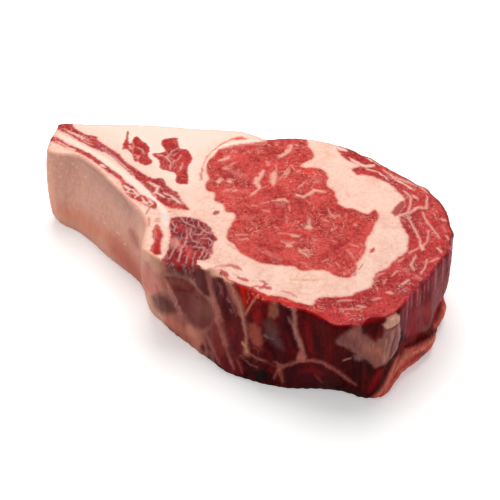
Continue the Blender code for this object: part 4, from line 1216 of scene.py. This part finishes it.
# Rib lean: two ribbons of meat between the ribs, one outside and one inside the white cartilage
# line. The inner one lies on the rib, so it has a part above the bone and a thin one under it.
OUTER_RIB_LEAN = [
    (-103, 92), (-101, 79), (-94.5, 71.4), (-87.5, 68), (-85, 63.3), (-79, 56.7), (-74, 52.2),
    (-68.5, 44.5), (-61.8, 38.2), (-57.6, 34.4), (-53.5, 31.3), (-48, 31.3), (-45, 24.5),
    (-39.2, 18.5), (-36.7, 12.4), (-32.6, 4.7), (-39.3, 5.2), (-44, 6.5), (-48, 10), (-53, 17.2),
    (-57.5, 24.5), (-62.5, 30.6), (-67.6, 37), (-72.6, 43.3), (-79.2, 51), (-86, 55), (-92, 60),
    (-99.6, 66.6), (-104, 71), (-118, 81), (-120, 92),
]
INNER_RIB_LEAN = [
    (-118, 71), (-110, 68), (-101, 60.5), (-92.5, 54), (-85.5, 47.5), (-79.6, 41), (-74, 36),
    (-70, 32), (-67.6, 27.6), (-63, 24), (-60.5, 18.5), (-56.5, 16), (-52, 12.5), (-49.4, 6.6),
    (-52.5, 5.5), (-57.5, 9), (-62.8, 12.5), (-66, 15), (-69.5, 21), (-70.5, 26), (-72.5, 30),
    (-76.5, 33.5), (-81.8, 38), (-87.5, 44), (-94.3, 50.2), (-102.5, 57), (-111, 63.5), (-119, 66),
]
RIBBON_FAT = (242, 200, 188)
OUTER_RIB_MARKS = [
    (RIBBON_FAT, 1.4, 0.5, 0.8, 0.1, [(-104, 74), (-97, 69), (-90, 63)]),
    (RIBBON_FAT, 1.2, 0.5, 0.8, 0.1, [(-84, 57), (-76, 49), (-70, 41)]),
    (RIBBON_FAT, 1.4, 0.5, 0.9, 0.1, [(-55, 28), (-50, 24), (-51, 19), (-46, 15)]),
    (RIBBON_FAT, 1.2, 0.5, 0.8, 0.1, [(-47, 19), (-42, 15), (-37, 9)]),
    ((150, 70, 84), 3.0, 1.5, 0.5, 0.0, [(-88, 62), (-80, 53), (-70, 41)]),
]
INNER_RIB_MARKS = [
    (RIBBON_FAT, 1.8, 0.6, 0.9, 0.1, [(-104, 58), (-98, 55)]),
    (RIBBON_FAT, 1.6, 0.5, 0.9, 0.1, [(-84, 42), (-80, 39.5)]),
    (RIBBON_FAT, 1.8, 0.5, 0.9, 0.1, [(-69, 25), (-66, 22), (-68, 19)]),
    (RIBBON_FAT, 1.4, 0.5, 0.9, 0.1, [(-64, 22), (-61, 17), (-63, 14)]),
    (RIBBON_FAT, 1.4, 0.5, 0.9, 0.1, [(-59, 16), (-57, 11), (-55, 9)]),
    (RIBBON_FAT, 1.2, 0.5, 0.9, 0.1, [(-55, 14), (-52, 9)]),
]
RIB_VEINS = [
    (0.9, [(64, 128.5), (71, 133), (79, 137), (85.5, 142), (93.5, 145)]),
    (1.2, [(148.5, 182.5), (154, 186.5), (161, 186.5)]),
    (1.1, [(159, 191), (152.5, 193.5), (157, 197.5)]),
    (1.1, [(167, 198.5), (176.5, 199.5), (183.5, 204)]),
    (1.5, [(87, 161.5), (93.5, 167.5), (103, 174.5), (111, 178.5)]),
    (1.4, [(123, 185), (127, 189), (136.5, 190.5)]),
    (1.2, [(125.5, 192), (142, 195.5)]), (1.4, [(140, 202.5), (151.5, 202.5)]),
    (1.1, [(147, 206.5), (154, 204)]),
    (1.4, [(56, 141), (64, 145), (71, 149)]),
    (1.0, [(104, 153), (115, 159.5), (124.5, 166), (133.5, 174.5)]),
    (1.2, [(72, 152), (80, 158)]), (1.2, [(112, 175), (119, 182)]), (1.0, [(130, 185), (138, 184)]),
]
RIB_PURPLES = [
    (1.8, [(84, 138), (93.5, 145), (100.5, 149)]), (1.8, [(103, 149), (115, 155.5), (125.5, 164)]),
]
RIB_SEEN = [
    *brush((158, 56, 72), 0.5, 1.5, 0.0, RIB_PURPLES),
    *brush((242, 188, 172), 0.85, 0.7, 0.1, RIB_VEINS),
]
OUTER_RIB_LOOP = ragged(OUTER_RIB_LEAN, 0.34, 14)
INNER_RIB_LOOP = ragged(INNER_RIB_LEAN, 0.34, 15)
rib_finish = lean_material(
    "rib_lean", face=((150, 22, 30), (204, 64, 60)), flank=((100, 16, 18), (150, 44, 42)),
    fat=(RIBBON_FAT, (190, 120, 105)), flecks=0.9, roughness=0.4, bump=0.5,
)
make_tissue(
    "outer_rib_meat", "outer_rib_lean", [OUTER_RIB_LOOP], lambda p: is_inside(p, OUTER_RIB_LOOP),
    WHOLE, (OUTER_RIB_MARKS, RIB_SEEN), rib_finish, MEAT_STEP,
)
for piece_name, node_name, slabs in (
    ("inner_rib_meat", "inner_rib_lean", OVER_BONE),
    ("inner_rib_meat_low", "inner_rib_lean_low", UNDER_BONE),
):
    make_tissue(
        piece_name, node_name, [INNER_RIB_LOOP, BONE_LOOP], lambda p: is_inside(p, INNER_RIB_LOOP),
        slabs, (INNER_RIB_MARKS, RIB_SEEN), rib_finish, MEAT_STEP,
    )

# Wedge lean: two small islands of muscle in the thick wedge of back fat. They are red and coarse,
# with pale branching veins, and run straight through from face to face.
WEDGE_LEAN_SMALL = [
    (-69.2, 72.7), (-68.6, 66), (-68.4, 61), (-66.9, 60.5), (-66.3, 64.3), (-64, 66.7),
    (-61.5, 63.4), (-57.2, 58.7), (-56.3, 53.5), (-56.5, 49.6), (-54.3, 45.8), (-55, 42.7),
    (-59, 42), (-62.2, 44.6), (-64.3, 45.8), (-66.8, 52.2), (-69.5, 54.9), (-71.5, 54.8),
    (-71.6, 59.4), (-70.4, 64), (-70.3, 69.3),
]
WEDGE_LEAN_LARGE = [
    (-50.3, 60.6), (-48, 64.7), (-41, 66), (-40.6, 63.4), (-39.2, 56.7), (-35.4, 55.5),
    (-32.9, 51), (-32, 45.8), (-34.2, 39.5), (-33.6, 26.9), (-36.4, 25.5), (-40.5, 26.9),
    (-41.1, 34.4), (-45.6, 37), (-49.7, 39.5), (-50.7, 45.8), (-54, 49.6), (-54.8, 51.6),
    (-49.2, 52.9), (-47.7, 54.8),
]
WEDGE_MARKS = [
    (RIBBON_FAT, 1.2, 0.7, 0.6, 0.1, [(-67.5, 58.5), (-66.5, 55)]),
    (RIBBON_FAT, 1.2, 0.9, 0.5, 0.1, [(-63.5, 47.5), (-61.5, 49.5)]),
    (RIBBON_FAT, 0.9, 0.7, 0.5, 0.1, [(-64, 57), (-60.5, 55), (-59, 51)]),
    (RIBBON_FAT, 0.8, 0.6, 0.6, 0.1, [(-52, 51), (-46, 48.5), (-44, 44), (-44, 38)]),
    (RIBBON_FAT, 0.8, 0.6, 0.5, 0.1, [(-44, 44), (-40, 47), (-38.5, 51)]),
    (RIBBON_FAT, 0.8, 0.6, 0.5, 0.1, [(-46, 48.5), (-44, 53), (-40, 57)]),
    (RIBBON_FAT, 0.8, 0.6, 0.5, 0.1, [(-41, 36), (-38, 39), (-37.5, 44)]),
]
WEDGE_VEINS = [
    (0.9, [(168.5, 154), (174, 155.5), (178, 152.5)]),
    (0.9, [(164.5, 149), (168.5, 155.5), (174, 161), (172.5, 166.5)]),
    (1.6, [(132.5, 141.5), (133.5, 147), (132.5, 154)]),
    (1.5, [(134, 154.5), (139, 157), (136.5, 161)]),
]
WEDGE_SEEN = brush((236, 160, 146), 0.6, 0.8, 0.1, WEDGE_VEINS)
wedge_finish = lean_material(
    "wedge_lean", face=((150, 18, 22), (200, 54, 50)), flank=((120, 20, 22), (160, 44, 42)),
    fat=(RIBBON_FAT, (190, 120, 105)), flecks=0.4, roughness=0.4, bump=0.5,
)
SMALL_WEDGE_LOOP = ragged(WEDGE_LEAN_SMALL, 0.3, 16)
LARGE_WEDGE_LOOP = ragged(WEDGE_LEAN_LARGE, 0.34, 17)
for piece_name, node_name, loop in (
    ("small_wedge_meat", "wedge_lean_small", SMALL_WEDGE_LOOP),
    ("large_wedge_meat", "wedge_lean_large", LARGE_WEDGE_LOOP),
):
    make_tissue(
        piece_name, node_name, [loop], lambda p: is_inside(p, loop), WHOLE,
        (WEDGE_MARKS, WEDGE_SEEN), wedge_finish, MEAT_STEP,
    )

# Neck lean: a sliver of red meat in the narrow neck of fat, deepest red at its front end. It lies
# above and below the rib, which cuts it in two.
NECK_LEAN = [
    (-50.6, -10.5), (-48, -10), (-45.5, -15.5), (-46, -20), (-46.6, -26.6), (-46, -31),
    (-50, -32.7), (-51.5, -30), (-49.8, -23.4), (-50.6, -16.6),
]
NECK_SEEN = [
    ((178, 22, 16), 9, 3, 0.8, 0.0, [(155, 242), (156, 248), (156, 254)]),
    ((212, 60, 50), 5, 2.5, 0.6, 0.0, [(157, 228), (158, 236)]),
    ((236, 150, 130), 0.9, 0.7, 0.6, 0.05, [(155, 230), (156.5, 234), (155.5, 238)]),
]
NECK_LOOP = ragged(NECK_LEAN, 0.2, 18)
for piece_name, node_name, slabs in (
    ("neck_meat", "neck_lean", OVER_BONE),
    ("neck_meat_low", "neck_lean_low", UNDER_BONE),
):
    make_tissue(
        piece_name, node_name, [NECK_LOOP, BONE_LOOP], lambda p: is_inside(p, NECK_LOOP),
        slabs, ([], NECK_SEEN), rib_finish, MEAT_STEP,
    )

# Fat: the creamy matrix that holds the muscles, one piece with the wedge at the back, the ring
# round the eye and the white line of cartilage. Towards the rib cage a thin tan-pink membrane
# covers its side and the rib's.
CARTILAGE = (245, 220, 207)
MEMBRANE = ((242, 178, 156), (228, 158, 136), (206, 122, 104))
FAT_SPECULAR = 0.25
FAT_CLOUDS = 0.075
FAT_MOTTLES = 0.35
FAT_CRUMBS = 1.3
FAT_MARKS = [
    ((252, 217, 202), 0, 14, 0.95, 0.0, [(-125, 90), (-20, 90), (4, 70), (-14, 62), (-26, 50),
     (-32, 18), (-45, 26), (-66, 48), (-84, 64), (-108, 82)]),
    (CARTILAGE, 4.5, 1.5, 0.9, 0.15, [(-109, 70.6), (-98, 61.3), (-89.5, 53.5), (-81, 45.8),
     (-73, 38.2), (-64.7, 29.4), (-58.9, 22), (-54, 16), (-49.8, 10), (-45.5, 2), (-44.5, -8)]),
    ((222, 206, 204), 4, 2, 0.7, 0.1, [(-45.5, 1), (-44.5, -4)]),
    ((214, 80, 60), 1.0, 0.6, 0.7, -0.1, [(-26.5, 38), (-27, 28.5)]),
    ((200, 90, 80), 1.2, 0.5, 0.7, 0.0, [(-44, 3), (-42, 3)]),
    ((222, 150, 100), 1.0, 0.6, 0.8, -0.1, [(19.5, -49.3), (28, -50), (37.5, -50)]),
    ((182, 134, 104), 1.0, 0.5, 0.7, -0.1, [(-11.5, -23.5), (-8.7, -26.5), (-6, -29.8)]),
    ((190, 178, 168), 1.6, 0.8, 0.6, -0.1, [(-15.5, -13), (-14.5, -13)]),
    ((184, 60, 56), 1.2, 0.6, 0.8, 0.0, [(-54.7, -1.8), (-54.5, -8.7)]),
    ((184, 60, 56), 1.0, 0.6, 0.8, 0.0, [(-50.5, -5), (-48, -4.6)]),
]
FAT_SEEN_MARKS = [
    ((198, 72, 66), 0, 1.2, 0.95, 0.0, [(213, 157), (222, 148.5), (234, 145), (248, 143.5),
     (262, 141.5), (268, 141), (268, 147), (248, 148), (230, 149), (218, 153)]),
    ((255, 234, 220), 1.3, 1.0, 0.85, 0.2, [(212, 153), (222, 146), (234, 142.5), (248, 141),
     (260, 141)]),
    ((214, 66, 40), 1.3, 1.0, 0.9, -0.2, [(202.5, 168), (205, 160), (212, 151), (222, 143.5),
     (231, 139.5), (240, 138), (248, 138.5)]),
    ((226, 58, 32), 2.8, 1.4, 0.9, -0.1, [(234, 138.5), (240, 138), (246, 138.5)]),
    ((196, 50, 40), 2.2, 1.2, 0.8, 0.0, [(202, 168), (202.5, 172)]),
    ((200, 60, 50), 1.8, 1.0, 0.7, 0.0, [(201, 175), (201.5, 180)]),
    ((164, 22, 28), 0, 1.2, 0.95, 0.0, [(391, 213), (395, 207), (400, 202), (406, 199.5), (408, 203),
     (406, 209), (401, 214), (395, 216.5)]),
    ((196, 60, 56), 1.0, 0.8, 0.9, 0.0, [(394, 190.5), (404, 194.5), (408, 200.5)]),
    ((178, 26, 30), 0, 1.2, 0.95, 0.0, [(212.5, 271), (217, 269.5), (223, 270), (227, 272),
     (229, 276), (225, 277.5), (219, 277), (215, 275)]),
    ((190, 62, 60), 0, 1.0, 0.85, 0.0, [(226, 265.5), (231, 264), (237, 265), (241, 268), (242, 271),
     (238, 269.5), (232, 267.5)]),
    ((206, 104, 96), 1.8, 1.0, 0.8, 0.0, [(221, 267), (230, 265), (237, 267)]),
    ((196, 40, 46), 0, 0.9, 0.95, 0.0, [(236, 275.5), (240, 277), (246, 278), (249, 281), (247, 282),
     (241, 280), (237, 278)]),
    ((204, 90, 82), 1.3, 0.8, 0.8, 0.0, [(214, 268), (222, 265), (230, 265)]),
    ((190, 36, 42), 0, 1.0, 0.95, 0.0, [(259, 280), (263, 280.5), (268, 284), (266, 286), (271, 287),
     (272, 290), (264, 289), (258, 289), (261, 286), (264, 284)]),
    ((200, 60, 54), 2.0, 1.0, 0.85, 0.0, [(249, 289), (256, 286), (263, 287)]),
    ((196, 60, 56), 1.8, 1.0, 0.7, 0.0, [(281, 291), (290, 293), (297, 297)]),
    ((192, 40, 36), 0, 1.2, 0.95, 0.0, [(156, 224), (160, 226), (162, 233), (160, 243), (160.5, 249),
     (158.5, 254), (152.5, 255), (150, 251), (151, 246), (154.5, 241), (152.5, 237), (152, 231)]),
    ((176, 50, 40), 1.6, 0.9, 0.85, 0.0, [(151, 204), (149, 209), (146, 214)]),
    ((206, 90, 80), 1.4, 0.8, 0.8, 0.0, [(154, 221), (157, 219), (160, 219)]),
    ((160, 60, 48), 1.3, 0.8, 0.85, 0.0, [(359, 269), (363, 264)]),
    ((196, 22, 12), 0, 0.8, 0.95, 0.0, [(369.5, 250), (374, 247), (375, 250), (372.5, 253),
     (370, 252.5)]),
    ((172, 36, 34), 0, 0.8, 0.95, 0.0, [(212, 213), (215, 210.5), (219.5, 211.5), (218.5, 214),
     (214, 215)]),
    ((120, 44, 36), 1.3, 0.8, 0.85, 0.0, [(354, 276), (357, 273)]),
    # two small pale strokes: a painted highlight on the wet fat
    ((246, 204, 188), 1.0, 0.7, 0.9, 0.1, [(226, 270), (232, 276)]),
    ((246, 204, 188), 0.9, 0.7, 0.9, 0.1, [(231, 267), (236, 273)]),
]

fat_tissue, entry, leave = new_group(
    "fat_tissue",
    [("Place", "Vector"), ("Light", "Color"), ("Shade", "Color"), ("Mark", "Color"), ("Edge", "Float")],
    [("Color", "Color"), ("Height", "Float")],
)
place = entry.outputs["Place"]
cloud = grain(fat_tissue, place, FAT_CLOUDS, 3.0, 0.6)
mottle = grain(fat_tissue, place, FAT_MOTTLES, 3.0, 0.6)
crumb = grain(fat_tissue, place, FAT_CRUMBS, 3.0, 0.6)
tone = calc(fat_tissue, "MULTIPLY_ADD", cloud, 1.5, -0.35)
tone = calc(fat_tissue, "ADD", tone, calc(fat_tissue, "MULTIPLY_ADD", mottle, 1.4, -0.7))
tone = calc(fat_tissue, "ADD", tone, calc(fat_tissue, "MULTIPLY_ADD", crumb, 1.3, -0.65))
body = blend(fat_tissue, ramp(fat_tissue, tone, 0.1, 1.0), entry.outputs["Light"], entry.outputs["Shade"])
few = ramp(fat_tissue, grain(fat_tissue, place, 0.09, 1.0), 0.5, 0.62)
seam = calc(fat_tissue, "MULTIPLY", thread_lines(fat_tissue, place, 0.13, 0.008, 1.0), few)
pit = ramp(fat_tissue, grain(fat_tissue, place, FAT_CRUMBS, 2.0, 0.5), 0.63, 0.7)
blush = ramp(fat_tissue, calc(fat_tissue, "ADD", entry.outputs["Edge"], mottle), 0.5, 1.9, 0.4, 0.0)
pit = calc(fat_tissue, "MULTIPLY", pit, 0.45)
mark = calc(fat_tissue, "MAXIMUM", calc(fat_tissue, "MULTIPLY", seam, 0.35), pit)
mark = calc(fat_tissue, "MAXIMUM", mark, blush)
fat_tissue.links.new(blend(fat_tissue, mark, body, entry.outputs["Mark"]), leave.inputs["Color"])
relief = calc(fat_tissue, "ADD", crumb, calc(fat_tissue, "MULTIPLY", mottle, 0.8))
fat_tissue.links.new(calc(fat_tissue, "SUBTRACT", relief, mark), leave.inputs["Height"])


def pale_material(name, face, flank, fibre_share, roughness, bump):
    """Fat or bone: one set of colours for the cut face and one for the skin on its side."""
    material, tree, shader, place, on_side, edge = tissue_nodes(name)
    parts = []
    for (light, shade, mark), from_edge in ((face, edge), (flank, FAR_INSIDE)):
        inputs = {"Place": place, "Edge": from_edge}
        inputs.update(Light=rgba(*light), Shade=rgba(*shade), Mark=rgba(*mark))
        parts.append(add(tree, "Group", inputs, node_tree=fat_tissue))
    colours = blend(tree, on_side, parts[0].outputs["Color"], parts[1].outputs["Color"])
    height = parts[0].outputs["Height"]
    painted_side(tree, shader, colours, height, on_side, place, fibre_share, roughness, bump)
    shader.inputs["Specular IOR Level"].default_value = FAT_SPECULAR
    return material


LEAN_LOOPS = [
    EYE_LOOP, CAP_LOOP, CHINE_LOOP, OUTER_RIB_LOOP, INNER_RIB_LOOP, SMALL_WEDGE_LOOP, LARGE_WEDGE_LOOP,
    NECK_LOOP,
]


def in_fat(points):
    """True for plan points that no muscle takes."""
    return ~np.any([is_inside(points, loop) for loop in LEAN_LOOPS], axis=0)


fat_finish = pale_material(
    "fat_and_membrane", face=((243, 201, 182), (230, 172, 152), (214, 104, 88)), flank=MEMBRANE,
    fibre_share=0.12, roughness=0.4, bump=0.35,
)
make_tissue(
    "fat_matrix", "fat", LEAN_LOOPS + [BONE_LOOP], in_fat, OVER_AND_UNDER,
    (FAT_MARKS, FAT_SEEN_MARKS), fat_finish,
)

# Rib bone: the sawn rib along the inner side, under the same thin membrane as the fat. Its head
# shows sawn through at the front, as a grey-brown oval of marrow bone.
bone_finish = pale_material(
    "rib_under_membrane", face=((230, 190, 165), (210, 160, 135), (180, 110, 90)), flank=MEMBRANE,
    fibre_share=0.12, roughness=0.4, bump=0.35,
)
make_tissue(
    "rib", "rib_bone", [BONE_LOOP], lambda p: is_inside(p, BONE_LOOP), BONE_ONLY,
    ([], []), bone_finish,
)
